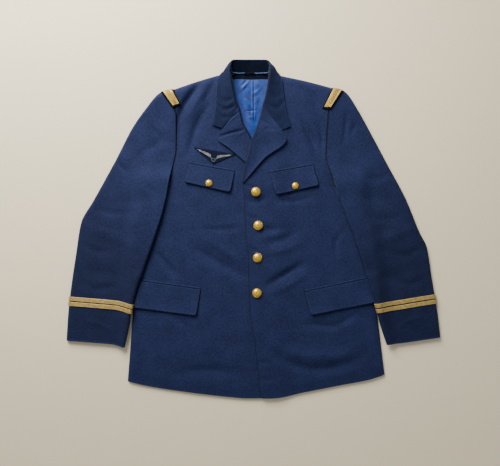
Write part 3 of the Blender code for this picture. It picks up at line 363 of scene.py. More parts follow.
def path(points: list[Point], shares: list[float] | None = None) -> Line:
    """Return a function that reads a smooth line through the points.

    Args:
        points: the points, all of one length.
        shares: where each point is along the line, or None for its share of the length.

    Returns:
        A function from a share, 0 to 1, to a point.
    """
    shares = shares or shares_of_length(points)
    columns = list(zip(*points))
    slopes = [slopes_of(shares, column) for column in columns]

    def read(share: float) -> Point:
        share = min(max(share, 0.0), 1.0)
        index = max(i for i in range(len(shares) - 1) if shares[i] <= share or i == 0)
        step = shares[index + 1] - shares[index]
        t = (share - shares[index]) / step
        weights = (2 * t**3 - 3 * t**2 + 1, t**3 - 2 * t**2 + t, 3 * t**2 - 2 * t**3, t**3 - t**2)
        return tuple(
            weights[0] * column[index] + weights[1] * step * slope[index]
            + weights[2] * column[index + 1] + weights[3] * step * slope[index + 1]
            for column, slope in zip(columns, slopes)
        )

    return read


def moved_in(points: list[Point], distance: float) -> list[Point]:
    """Return an outline moved to the left of its own direction by a distance."""
    result = []
    for index, point in enumerate(points):
        before = points[max(index - 1, 0)]
        after = points[min(index + 1, len(points) - 1)]
        along = Vector((after[0] - before[0], after[1] - before[1])).normalized()
        result.append((point[0] - along.y * distance, point[1] + along.x * distance))
    return result


def patch(top: Line, bottom: Line, inner: Line, outer: Line) -> Plan:
    """Return a function that reads the sheet spanned by four boundary lines."""
    corners = inner(0), outer(0), inner(1), outer(1)

    def read(u: float, v: float) -> Point:
        rails = mix(inner(v), outer(v), u)
        rungs = mix(top(u), bottom(u), v)
        flat = mix(mix(corners[0], corners[1], u), mix(corners[2], corners[3], u), v)
        return tuple(a + b - c for a, b, c in zip(rails, rungs, flat))

    return read


def even(count: int) -> list[float]:
    """Return count + 1 even shares from 0 to 1."""
    return [index / count for index in range(count + 1)]


def graded(length: float, step: float, start: float = 1.5 * MM, end: float = 1.5 * MM) -> list[float]:
    """Return shares along a length, closer together where the cloth turns at its ends.

    Args:
        length: the length in metres.
        step: the distance between two shares away from the ends.
        start: the radius of the turn at the first end.
        end: the radius of the turn at the last end.

    Returns:
        The shares, from 0 to 1.
    """
    turns = [1.0 - math.cos(math.pi / 2 * k / 5) for k in range(5)]
    count = max(round((length - start - end) / step), 2)
    middle = [start + (length - start - end) * share for share in even(count)]
    distances = [turn * start for turn in turns] + middle + [length - turn * end for turn in reversed(turns)]
    return [distance / length for distance in distances]


class CreaseField:
    """Heights of a set of folds and creases over the plan."""

    def __init__(self, folds: list[Fold], creases: list[Crease], gain: float = 1.0) -> None:
        """Keep the folds, and each crease as a fine line with its reach."""
        self.folds = folds
        self.gain = gain
        self.lines: list[tuple[Crease, list[Point], tuple[float, ...]]] = []
        for crease in creases:
            line = path(crease.line)
            points = [line(share) for share in even(9)]
            reach = 2.4 * crease.half_width
            xs, ys = [p[0] for p in points], [p[1] for p in points]
            box = (min(xs) - reach, max(xs) + reach, min(ys) - reach, max(ys) + reach)
            self.lines.append((crease, points, box))

    def height(self, x: float, y: float) -> float:
        """Return the height that the folds and creases add at a place."""
        total = 0.0
        for fold in self.folds:
            angle = math.radians(fold.degrees)
            dx, dy = x - fold.x, y - fold.y
            along = (dx * math.cos(angle) + dy * math.sin(angle)) / fold.half_length
            across = (dy * math.cos(angle) - dx * math.sin(angle)) / fold.half_width
            total += fold.height * math.exp(-along * along - across * across)
        for crease, points, (low_x, high_x, low_y, high_y) in self.lines:
            if low_x < x < high_x and low_y < y < high_y:
                total += self.gain * self._crease_height(crease, points, x, y)
        return total

    @staticmethod
    def _crease_height(crease: Crease, points: list[Point], x: float, y: float) -> float:
        """Return one crease's height: a soft trough with a faint shoulder on each side."""
        best, where = 1.0, 0.0
        for index, (a, b) in enumerate(zip(points, points[1:])):
            dx, dy = b[0] - a[0], b[1] - a[1]
            share = ((x - a[0]) * dx + (y - a[1]) * dy) / (dx * dx + dy * dy)
            share = min(max(share, 0.0), 1.0)
            away = math.hypot(x - a[0] - dx * share, y - a[1] - dy * share)
            if away < best:
                best, where = away, (index + share) / (len(points) - 1)
        across = (best / crease.half_width) ** 2
        fade = math.sin(math.pi * (0.06 + 0.88 * where)) ** 0.8
        return crease.height * fade * math.exp(-across) * (1.0 - 0.5 * across)


def crumple(x: float, y: float, size: float, depth: float, seed: float) -> float:
    """Return a small uneven height, as in cloth that has been worn."""
    return depth * noise.noise(Vector((x / size, y / size, seed)))


class JacketShape:
    """The heights of the jacket's layers above the floor."""

    fronts = CreaseField(FRONT_FOLDS, FRONT_CREASES, 1.7)
    sleeves = CreaseField(SLEEVE_FOLDS, SLEEVE_CREASES, 1.8)
    leaves = CreaseField([], LEAF_CREASES, 1.7)
    lining = CreaseField([], LINING_CREASES, 1.3)

    @staticmethod
    def shoulder_rise(x: float, y: float) -> float:
        """Return the height of the padding, highest at the sleeve heads."""
        return SHOULDER_RISE * smooth_step(y, 0.19, 0.33) * (0.6 + 0.4 * smooth_step(abs(x), 0.05, 0.18))

    @staticmethod
    def chest_fullness(x: float, y: float) -> float:
        """Return the height of the shaped chest."""
        return CHEST_RISE * math.exp(-((abs(x) - 0.115) / 0.06) ** 2 - ((y - 0.12) / 0.09) ** 2)

    @staticmethod
    def lap_height(x: float, y: float) -> float:
        """Return how far the left front stands higher, over the right front and the right lapel."""
        over_front = (1.0 - smooth_step(x, 0.050, 0.105)) * (1.0 - smooth_step(y, 0.215, 0.275))
        over_lapel = (1.0 - smooth_step(x, 0.042, 0.095)) * smooth_step(y, 0.065, 0.104)
        return LAP_RISE * (over_front + over_lapel * (1.0 - smooth_step(y, 0.222, 0.262)))

    @classmethod
    def front_top(cls, x: float, y: float, left: bool) -> float:
        """Return the upper surface of a front, before its outer edges turn down."""
        height = FRONT_TOP + cls.shoulder_rise(x, y) + cls.chest_fullness(x, y) + cls.fronts.height(x, y)
        height += crumple(x, y, 0.055, 0.7 * MM, 3.0) + crumple(x, y, 0.016, 0.16 * MM, 8.0)
        return height + (cls.lap_height(x, y) if left else 0.0)

    @staticmethod
    def side_x(side: list[Point], y: float) -> float:
        """Return where the body's side edge runs, below the underarm."""
        below = [point for point in side if point[1] < 0.063]
        y = min(max(y, below[-1][1]), below[0][1])
        for a, b in zip(below, below[1:]):
            if b[1] <= y <= a[1]:
                return a[0] + (b[0] - a[0]) * (a[1] - y) / (a[1] - b[1])
        return below[-1][0]

    @classmethod
    def sleeve_thickness(cls, x: float, y: float) -> float:
        """Return how far a sleeve's upper surface stands over what the sleeve lies on."""
        wrinkles = crumple(x, y, 0.050, 0.9 * MM, 21.0) + crumple(x, y, 0.015, 0.16 * MM, 27.0)
        return SLEEVE_TOP + cls.sleeves.height(x, y) + wrinkles

    @classmethod
    def sleeve_cover(cls, x: float, y: float, left: bool) -> float:
        """Return how high a sleeve's under layer lies, on the floor and where it crosses the front."""
        past_edge = (x if left else -x) - abs(cls.side_x(SIDE_LEFT if left else SIDE_RIGHT, y))
        over = (1.0 - smooth_step(past_edge, 3.0 * MM, 40.0 * MM)) * smooth_step(-y, -0.155, -0.112)
        flap = 1.0 - smooth_step(abs(y + 0.155), 0.040, 0.065)
        flap *= 1.0 - smooth_step(past_edge, -2.0 * MM, 22.0 * MM)
        return over * (FRONT_TOP + cls.chest_fullness(x, y) + 1.6 * MM) + flap * 3.2 * MM


class Surface:
    """The upper side of finished pieces, read from above."""

    def __init__(self, *things: bpy.types.Object) -> None:
        """Keep a search tree for each piece."""
        self.trees = []
        for thing in things:
            corners = [vertex.co for vertex in thing.data.vertices]
            self.trees.append(BVHTree.FromPolygons(corners, [face.vertices for face in thing.data.polygons]))

    def read(self, x: float, y: float, around: float = 0.0) -> float:
        """Return the highest point at a place, or within a distance of it."""
        steps = [(0.0, 0.0)]
        if around:
            turns = [2.0 * math.pi * k / 8 for k in range(8)]
            steps += [(around * math.cos(turn), around * math.sin(turn)) for turn in turns]
        best = 0.0
        for dx, dy in steps:
            for tree in self.trees:
                hit = tree.ray_cast(Vector((x + dx, y + dy, 0.2)), Vector((0.0, 0.0, -1.0)))[0]
                best = max(best, hit.z if hit else 0.0)
        return best


def on_cloth(points: list[Any], carrier: Surface, rise: float) -> list[Point]:
    """Return places in the plan as points that stand a little over a surface."""
    return [(x, y, carrier.read(x, y) + rise) for x, y in (point[:2] for point in points)]


class GridSurface:
    """A surface's heights on a coarse grid, always above it, with a smooth blend between."""

    def __init__(self, surface: Surface, low: Point, high: Point, step: float = 3.0 * MM) -> None:
        """Read the highest point round each corner of the grid, then take the mean of neighbours."""
        self.low, self.step = low, step
        self.size = tuple(int((b - a) / step) + 2 for a, b in zip(low, high))
        peaks = [[surface.read(low[0] + i * step, low[1] + j * step, 0.8 * step) for i in range(self.size[0])]
                 for j in range(self.size[1])]
        self.heights = [[self.mean(peaks, i, j) for i in range(self.size[0])] for j in range(self.size[1])]

    def mean(self, grid: Grid, i: int, j: int) -> float:
        """Return the mean of the heights round a corner, but not below its own."""
        cells = [grid[b][a] for b in range(max(j - 1, 0), min(j + 2, self.size[1]))
                 for a in range(max(i - 1, 0), min(i + 2, self.size[0]))]
        return max(sum(cells) / len(cells), grid[j][i])

    def read(self, x: float, y: float) -> float:
        """Return the height at a place."""
        across = min(max((x - self.low[0]) / self.step, 0.0), self.size[0] - 1.001)
        up = min(max((y - self.low[1]) / self.step, 0.0), self.size[1] - 1.001)
        i, j = int(across), int(up)
        near, far = self.heights[j], self.heights[j + 1]
        low = near[i] + (near[i + 1] - near[i]) * (across - i)
        return low + (far[i] + (far[i + 1] - far[i]) * (across - i) - low) * (up - j)


class NodeSheet:
    """A material and short ways to add and join its nodes."""

    def __init__(self, name: str) -> None:
        """Start a material with its shader."""
        self.material = bpy.data.materials.new(name)
        self.material.use_nodes = True
        self.tree = self.material.node_tree
        self.shader = self.tree.nodes["Principled BSDF"]

    def add(self, kind: str, inputs: dict[Any, Any] | None = None, **settings: Any) -> bpy.types.Node:
        """Add a node.

        Args:
            kind: the node's type, without its ShaderNode prefix.
            inputs: what goes into each input: a value or another node's output.
            settings: the node's own settings.

        Returns:
            The node.
        """
        node = self.tree.nodes.new("ShaderNode" + kind)
        for name, value in settings.items():
            setattr(node, name, value)
        for name, value in (inputs or {}).items():
            self.feed(node.inputs[name], value)
        return node

    def feed(self, socket: bpy.types.NodeSocket, value: Any) -> None:
        """Set an input to a value or join it to an output."""
        if isinstance(value, bpy.types.NodeSocket):
            self.tree.links.new(value, socket)
        else:
            socket.default_value = value

    def grain(self) -> bpy.types.NodeSocket:
        """Return the place on the cloth, in metres across and along its grain."""
        return self.add("UVMap", uv_map="grain").outputs["UV"]

    def stripes(self, where: Any, pitch: float, degrees: float, wobble: float = 0.0) -> bpy.types.NodeSocket:
        """Return even soft stripes, from 0 to 1, at a pitch and an angle to the grain."""
        turned = self.add("Mapping", {"Vector": where, "Rotation": (0.0, 0.0, math.radians(degrees))})
        wave = self.add("TexWave", {"Vector": turned.outputs[0], "Scale": 0.31416 / pitch, "Distortion": wobble,
                                    "Detail": 1.0, "Detail Scale": 0.6})
        return wave.outputs["Fac"]

    def speckle(self, where: Any, size: float, detail: float = 2.0) -> bpy.types.NodeSocket:
        """Return uneven spots, from 0 to 1, of about a size in metres."""
        return self.add("TexNoise", {"Vector": where, "Scale": 1.0 / size, "Detail": detail}).outputs["Fac"]

    def math(self, operation: str, a: Any, b: Any = 0.0) -> bpy.types.NodeSocket:
        """Return the result of a sum on one or two values."""
        return self.add("Math", {0: a, 1: b}, operation=operation).outputs[0]

    def spread(self, value: Any, low: float, high: float, to_low: float = 0.0, to_high: float = 1.0) -> Any:
        """Return a value with its range from low to high stretched to another range."""
        return self.add("MapRange", {"Value": value, "From Min": low, "From Max": high, "To Min": to_low,
                                     "To Max": to_high}).outputs[0]

    def total(self, *parts: tuple[Any, float, float, float, float]) -> bpy.types.NodeSocket:
        """Return the sum of patterns, each with its range and the range that it is stretched to."""
        tone = self.spread(*parts[0])
        for part in parts[1:]:
            tone = self.math("ADD", tone, self.spread(*part))
        return tone

    def attribute(self, name: str) -> bpy.types.NodeSocket:
        """Return a value that the mesh itself carries."""
        return self.add("Attribute", attribute_name=name).outputs["Fac"]

    def toned(self, tone: Any, dark: Color, light: Color) -> bpy.types.NodeSocket:
        """Return the colour from dark to light at a tone, which is held between 0 and 1."""
        return self.blend(self.spread(tone, 0.0, 1.0), dark, light)

    def blend(self, share: Any, a: Any, b: Any) -> bpy.types.NodeSocket:
        """Return the colour at a share of the way from a to b."""
        a, b = ((*color, 1.0) if isinstance(color, tuple) else color for color in (a, b))
        return self.add("Mix", {0: share, 6: a, 7: b}, data_type="RGBA").outputs[2]

    def bump(self, height: Any, strength: float, distance: float, below: Any = None) -> bpy.types.NodeSocket:
        """Return a normal that a height pattern has tilted."""
        inputs = {"Height": height, "Strength": strength, "Distance": distance}
        if below is not None:
            inputs["Normal"] = below
        return self.add("Bump", inputs).outputs[0]

    def shade(self, **values: Any) -> bpy.types.Material:
        """Feed the shader and return the material."""
        for name, value in values.items():
            self.feed(self.shader.inputs[name.replace("_", " ").title().replace("Ior", "IOR")], value)
        return self.material


@dataclass(frozen=True)
class WoolTwill:
    """Worsted wool twill: fine diagonal ribs, a little mottled, paler along worn edges, and darkened towards a
    painted shade colour at rolls, seams, edges and on the sleeves.
    """

    name: str = "navy_wool_twill"
    dark: Color = (0.0074, 0.0112, 0.0400)
    light: Color = (0.0180, 0.0264, 0.0860)
    worn: Color = (0.0300, 0.0440, 0.1000)
    # The dark colour that painted shade blends towards.
    painted_shade: Color = (0.0012, 0.0020, 0.0070)
    rib_pitch: float = 0.75 * MM

    def make(self) -> bpy.types.Material:
        """Return the material."""
        sheet = NodeSheet(self.name)
        grain = sheet.grain()
        ribs = sheet.stripes(grain, self.rib_pitch, 58.0, 0.6)
        yarn = sheet.speckle(grain, 0.9 * MM, 3.0)
        patches = sheet.speckle(grain, 34.0 * MM, 3.0)
        fuzz = sheet.speckle(grain, 4.5 * MM, 4.0)
        tone = sheet.total((patches, 0.3, 0.7, -0.18, 0.18), (fuzz, 0.3, 0.7, 0.10, 0.90),
                           (yarn, 0.3, 0.7, -0.16, 0.16), (ribs, 0.0, 1.0, -0.14, 0.14))
        color = sheet.toned(tone, self.dark, self.light)
        # The mesh attribute read here marks pale worn edges above zero and painted shade below zero.
        wear_and_shade = sheet.attribute("wear_and_shade")
        pale = sheet.math("MULTIPLY", wear_and_shade, sheet.spread(fuzz, 0.35, 0.65, 0.05, 0.45))
        color = sheet.blend(pale, color, self.worn)
        # Painted shade: below zero the colour is blended towards the dark painted shade colour.
        color = sheet.blend(sheet.math("MULTIPLY", wear_and_shade, -1.0), color, self.painted_shade)
        normal = sheet.bump(yarn, 0.35, 0.25 * MM)
        normal = sheet.bump(ribs, 0.5, 0.22 * MM, normal)
        normal = sheet.bump(fuzz, 0.30, 0.5 * MM, normal)
        return sheet.shade(base_color=color, normal=normal, roughness=0.82, sheen_weight=0.14,
                           sheen_roughness=0.40, sheen_tint=(0.45, 0.60, 1.0, 1.0), specular_IOR_level=0.14)


@dataclass(frozen=True)
class Satin:
    """Bright lining satin: very fine floats across, soft gloss and small pulls."""

    name: str = "blue_lining_satin"
    dark: Color = (0.0030, 0.0165, 0.1000)
    light: Color = (0.0110, 0.0580, 0.3000)

    def make(self) -> bpy.types.Material:
        """Return the material."""
        sheet = NodeSheet(self.name)
        grain = sheet.grain()
        floats = sheet.stripes(grain, 0.55 * MM, 0.0, 0.5)
        drawn_out = sheet.add("Mapping", {"Vector": grain, "Scale": (1.0, 0.18, 1.0)}).outputs[0]
        pulls = sheet.speckle(drawn_out, 1.6 * MM)
        clouds = sheet.speckle(grain, 16.0 * MM, 3.0)
        tone = sheet.total((clouds, 0.3, 0.7, 0.1, 0.8), (pulls, 0.3, 0.7, -0.12, 0.12))
        color = sheet.toned(tone, self.dark, self.light)
        normal = sheet.bump(floats, 0.3, 0.10 * MM, sheet.bump(pulls, 0.25, 0.2 * MM))
        return sheet.shade(base_color=color, normal=normal, roughness=0.45, anisotropic=0.4,
                           specular_IOR_level=0.25)


@dataclass(frozen=True)
class Felt:
    """Pressed felt or black cloth tape: matt, with short uneven fibres."""

    name: str = "black_felt"
    dark: Color = (0.0014, 0.0020, 0.0050)
    light: Color = (0.0048, 0.0066, 0.0140)
    fibre: float = 1.0 * MM

    def make(self) -> bpy.types.Material:
        """Return the material."""
        sheet = NodeSheet(self.name)
        grain = sheet.grain()
        fibres = sheet.speckle(grain, self.fibre, 4.0)
        lumps = sheet.speckle(grain, 6.0 * self.fibre, 3.0)
        tone = sheet.total((fibres, 0.3, 0.7, 0.1, 0.7), (lumps, 0.3, 0.7, -0.2, 0.2))
        color = sheet.toned(tone, self.dark, self.light)
        normal = sheet.bump(fibres, 0.5, 0.3 * MM, sheet.bump(lumps, 0.3, 0.6 * MM))
        return sheet.shade(base_color=color, normal=normal, roughness=0.92, sheen_weight=0.03,
                           sheen_roughness=0.5, specular_IOR_level=0.06)


@dataclass(frozen=True)
class MetalThread:
    """Cloth woven of metal thread, with close ribs, brighter where a pattern stands up."""

    name: str
    deep: Color
    bright: Color
    rib_pitch: float = 0.75 * MM
    rib_degrees: float = 0.0
    metallic: float = 0.55
    roughness: float = 0.42

    def make(self) -> bpy.types.Material:
        """Return the material."""
        sheet = NodeSheet(self.name)
        grain = sheet.grain()
        ribs = sheet.stripes(grain, self.rib_pitch, self.rib_degrees, 0.35)
        twist = sheet.stripes(grain, 0.5 * self.rib_pitch, self.rib_degrees + 62.0, 0.4)
        tarnish = sheet.speckle(grain, 7.0 * MM, 4.0)
        weave = sheet.total((ribs, 0.0, 1.0, -0.16, 0.16), (tarnish, 0.35, 0.68, -0.30, 0.22),
                            (twist, 0.0, 1.0, -0.08, 0.08))
        color = sheet.toned(sheet.math("ADD", sheet.attribute("pattern"), weave), self.deep, self.bright)
        normal = sheet.bump(ribs, 0.55, 0.22 * MM, sheet.bump(twist, 0.35, 0.12 * MM))
        return sheet.shade(base_color=color, normal=normal, roughness=self.roughness, metallic=self.metallic)


@dataclass(frozen=True)
class Gilt:
    """Gilt brass, bright on what stands up and browner in the hollows."""

    name: str = "gilt_brass"
    deep: Color = (0.330, 0.170, 0.018)
    bright: Color = (0.960, 0.640, 0.070)

    def make(self) -> bpy.types.Material:
        """Return the material."""
        sheet = NodeSheet(self.name)
        place = sheet.add("TexCoord").outputs["Object"]
        stain = sheet.speckle(place, 3.0 * MM, 4.0)
        grain = sheet.speckle(place, 0.5 * MM, 2.0)
        tone = sheet.math("ADD", sheet.attribute("pattern"), sheet.spread(stain, 0.3, 0.7, -0.16, 0.14))
        color = sheet.toned(tone, self.deep, self.bright)
        rough = sheet.spread(stain, 0.3, 0.7, 0.28, 0.42)
        return sheet.shade(base_color=color, roughness=rough, metallic=0.75,
                           normal=sheet.bump(grain, 0.12, 0.1 * MM))


@dataclass(frozen=True)
class Thread:
    """Sewing thread with a slight gloss."""

    name: str
    color: Color
    pale: Color

    def make(self) -> bpy.types.Material:
        """Return the material."""
        sheet = NodeSheet(self.name)
        place = sheet.add("TexCoord").outputs["Object"]
        tone = sheet.speckle(place, 0.8 * MM, 2.0)
        color = sheet.blend(sheet.spread(tone, 0.3, 0.7), self.color, self.pale)
        return sheet.shade(base_color=color, roughness=0.6, normal=sheet.bump(tone, 0.3, 0.1 * MM))


class Finish(Enum):
    """The jacket's finishes."""

    WOOL = WoolTwill()
    # The collar fall's wool: the same twill, darker.
    COLLAR_WOOL = WoolTwill("collar_wool_twill", (0.0032, 0.0062, 0.0245), (0.0086, 0.0152, 0.0540))
    SATIN = Satin()
    FELT = Felt()
    BADGE_FELT = Felt("badge_felt", (0.0028, 0.0048, 0.0150), (0.0090, 0.0140, 0.0380))
    STAND = Felt("black_stand_cloth", (0.0012, 0.0026, 0.0080), (0.0040, 0.0086, 0.0220), 1.6 * MM)
    EDGE = Satin("lining_edge_satin", (0.040, 0.075, 0.190), (0.110, 0.170, 0.340))
    LACE = MetalThread("gold_lace_weave", (0.240, 0.090, 0.006), (0.640, 0.465, 0.085),
                       0.8 * MM, 0.0, 0.3, 0.44)
    BRAID = MetalThread("gold_braid_weave", (0.200, 0.120, 0.028), (0.640, 0.450, 0.140),
                        1.0 * MM, 64.0, 0.4, 0.46)
    SILVER = MetalThread("silver_thread", (0.060, 0.062, 0.070), (0.330, 0.330, 0.320),
                         0.5 * MM, 35.0, 0.6, 0.42)
    GILT = Gilt()
    NAVY_THREAD = Thread("navy_thread", (0.005, 0.007, 0.020), (0.018, 0.026, 0.062))
    HOLE_THREAD = Thread("buttonhole_thread", (0.003, 0.004, 0.012), (0.012, 0.018, 0.045))


class SewnLine:
    """Geometry nodes that set a small rounded bar at even steps along every line.

    It makes stitches, buttonhole edges, the rope rim of a button and the leaves of a spray.
    """

    _tree: bpy.types.NodeTree | None = None

    @classmethod
    def tree(cls) -> bpy.types.NodeTree:
        """Return the node tree, which is built once."""
        if cls._tree:
            return cls._tree
        tree = bpy.data.node_groups.new("sewn_line", "GeometryNodeTree")
        tree.interface.new_socket("Lines", in_out="INPUT", socket_type="NodeSocketGeometry")
        for name in ("Spacing", "Along", "Across", "Height", "Turn"):
            tree.interface.new_socket(name, in_out="INPUT", socket_type="NodeSocketFloat")
        tree.interface.new_socket("Material", in_out="INPUT", socket_type="NodeSocketMaterial")
        tree.interface.new_socket("Sewing", in_out="OUTPUT", socket_type="NodeSocketGeometry")
        nodes = tree.nodes
        given = nodes.new("NodeGroupInput").outputs
        curve = nodes.new("GeometryNodeMeshToCurve")
        points = nodes.new("GeometryNodeCurveToPoints")
        points.mode = "LENGTH"
        bar = nodes.new("GeometryNodeMeshUVSphere")
        for name, value in (("Segments", 6), ("Rings", 4), ("Radius", 0.5)):
            bar.inputs[name].default_value = value
        aim = nodes.new("FunctionNodeAlignRotationToVector")
        aim.axis = "X"
        angle = nodes.new("ShaderNodeCombineXYZ")
        euler = nodes.new("FunctionNodeEulerToRotation")
        turned = nodes.new("FunctionNodeRotateRotation")
        turned.rotation_space = "LOCAL"
        size = nodes.new("ShaderNodeCombineXYZ")
        copies = nodes.new("GeometryNodeInstanceOnPoints")
        real = nodes.new("GeometryNodeRealizeInstances")
        dress = nodes.new("GeometryNodeSetMaterial")
        for output, node, name in (
            (given["Lines"], curve, "Mesh"), (curve.outputs["Curve"], points, "Curve"),
            (given["Spacing"], points, "Length"), (points.outputs["Tangent"], aim, "Vector"),
            (given["Turn"], angle, "Z"), (angle.outputs[0], euler, 0), (aim.outputs[0], turned, 0),
            (euler.outputs[0], turned, 1), (given["Along"], size, "X"), (given["Across"], size, "Y"),
            (given["Height"], size, "Z"), (points.outputs["Points"], copies, "Points"),
            (bar.outputs["Mesh"], copies, "Instance"), (turned.outputs[0], copies, "Rotation"),
            (size.outputs[0], copies, "Scale"), (copies.outputs[0], real, 0),
            (real.outputs[0], dress, "Geometry"), (given["Material"], dress, "Material"),
            (dress.outputs[0], nodes.new("NodeGroupOutput"), "Sewing"),
        ):
            tree.links.new(output, node.inputs[name])
        cls._tree = tree
        return tree

    @classmethod
    def sew(cls, lines: list[list[Point]], material: bpy.types.Material, spacing: float, along: float,
            across: float, height: float, degrees: float = 0.0) -> bpy.types.Mesh:
        """Set bars along lines.

        Args:
            lines: the lines' points.
            material: the bars' material.
            spacing: the distance from one bar to the next.
            along: a bar's size along the line.
            across: a bar's size across the line.
            height: a bar's size upwards.
            degrees: how far each bar is turned from its line.

        Returns:
            The bars as one plain mesh.
        """
        guide = bpy.data.meshes.new("guide")
        corners, edges = [], []
        for line in lines:
            edges += [(len(corners) + k, len(corners) + k + 1) for k in range(len(line) - 1)]
            corners += line
        guide.from_pydata(corners, edges, [])
        thing = bpy.data.objects.new("guide", guide)
        bpy.context.scene.collection.objects.link(thing)
        modifier = thing.modifiers.new("sewn_line", "NODES")
        modifier.node_group = cls.tree()
        values = {"Spacing": spacing, "Along": along, "Across": across, "Height": height,
                  "Turn": math.radians(degrees), "Material": material}
        for item in cls.tree().interface.items_tree:
            if item.in_out == "INPUT" and item.name in values:
                modifier[item.identifier] = values[item.name]
        result = bpy.data.meshes.new_from_object(thing.evaluated_get(bpy.context.evaluated_depsgraph_get()))
        bpy.data.objects.remove(thing, do_unlink=True)
        bpy.data.meshes.remove(guide)
        return result


def set_pattern(mesh: bpy.types.Mesh, shown: float) -> None:
    """Give a whole mesh one tone of its finish's pattern."""
    mesh.attributes.new("pattern", "FLOAT", "POINT").data.foreach_set("value", [shown] * len(mesh.vertices))


class Held(Enum):
    """How a sheet of cloth is held."""

    LAID = "laid"
    FOLDED = "folded"


@dataclass(frozen=True)
class Cut:
    """The flat size that a sheet was cut to."""

    width: float
    length: float
    area: float
    rests_on: tuple[str, ...] = ()
    held: Held = Held.LAID


CUTS: dict[str, Cut] = {
    "back_right": Cut(0.300, 0.765, 0.1770),
    "back_left": Cut(0.310, 0.765, 0.1745),
    "back_lining": Cut(0.100, 0.190, 0.0159, ("back_right", "back_left")),
    "dark_neck_strip": Cut(0.010, 0.090, 0.00085, ("back_lining",)),
    "front_right": Cut(0.360, 0.790, 0.1950, ("back_right",)),
    "front_left": Cut(0.345, 0.790, 0.1830, ("back_left", "front_right")),
    "lapel_right": Cut(0.105, 0.200, 0.0086, ("front_right",), Held.FOLDED),
    "lapel_left": Cut(0.110, 0.210, 0.0093, ("front_left",), Held.FOLDED),
    "collar_fall": Cut(0.095, 0.400, 0.0195, ("front_right", "front_left"), Held.FOLDED),
    "collar_stand": Cut(0.036, 0.100, 0.0027, ("collar_fall",), Held.FOLDED),
    "lining_edge_satin": Cut(0.010, 0.090, 0.00028, ("collar_stand",)),
    "hanger_loop": Cut(0.010, 0.030, 0.00012, ("collar_stand",)),
    "chest_flap_right": Cut(0.112, 0.050, 0.0053, ("front_right",)),
    "chest_flap_left": Cut(0.108, 0.053, 0.0054, ("front_left",)),
    "hip_flap_right": Cut(0.150, 0.068, 0.0094, ("front_right",)),
    "hip_flap_left": Cut(0.156, 0.064, 0.0090, ("front_left",)),
    "chest_jetting_right": Cut(0.112, 0.010, 0.00054, ("front_right",)),
    "chest_jetting_left": Cut(0.108, 0.010, 0.00051, ("front_left",)),
    "hip_jetting_right": Cut(0.148, 0.010, 0.00071, ("front_right",)),
    "hip_jetting_left": Cut(0.156, 0.010, 0.00075, ("front_left",)),
    "sleeve_right": Cut(0.500, 0.620, 0.1740, ("front_right",)),
    "sleeve_left": Cut(0.490, 0.620, 0.1620, ("front_left",)),
    **{f"cuff_braid_{side}_{ring}": Cut(0.010, 0.180, 0.00170, (f"sleeve_{side}",))
       for side in ("right", "left") for ring in (1, 2)},
    "bar_backing_right": Cut(0.026, 0.050, 0.0013, ("sleeve_right", "front_right")),
    "bar_backing_left": Cut(0.026, 0.054, 0.0014, ("sleeve_left", "front_left")),
    "bar_lace_right": Cut(0.021, 0.048, 0.0010, ("bar_backing_right",)),
    "bar_lace_left": Cut(0.021, 0.052, 0.00109, ("bar_backing_left",)),
    "badge_backing": Cut(0.100, 0.036, 0.0018, ("front_right",)),
}


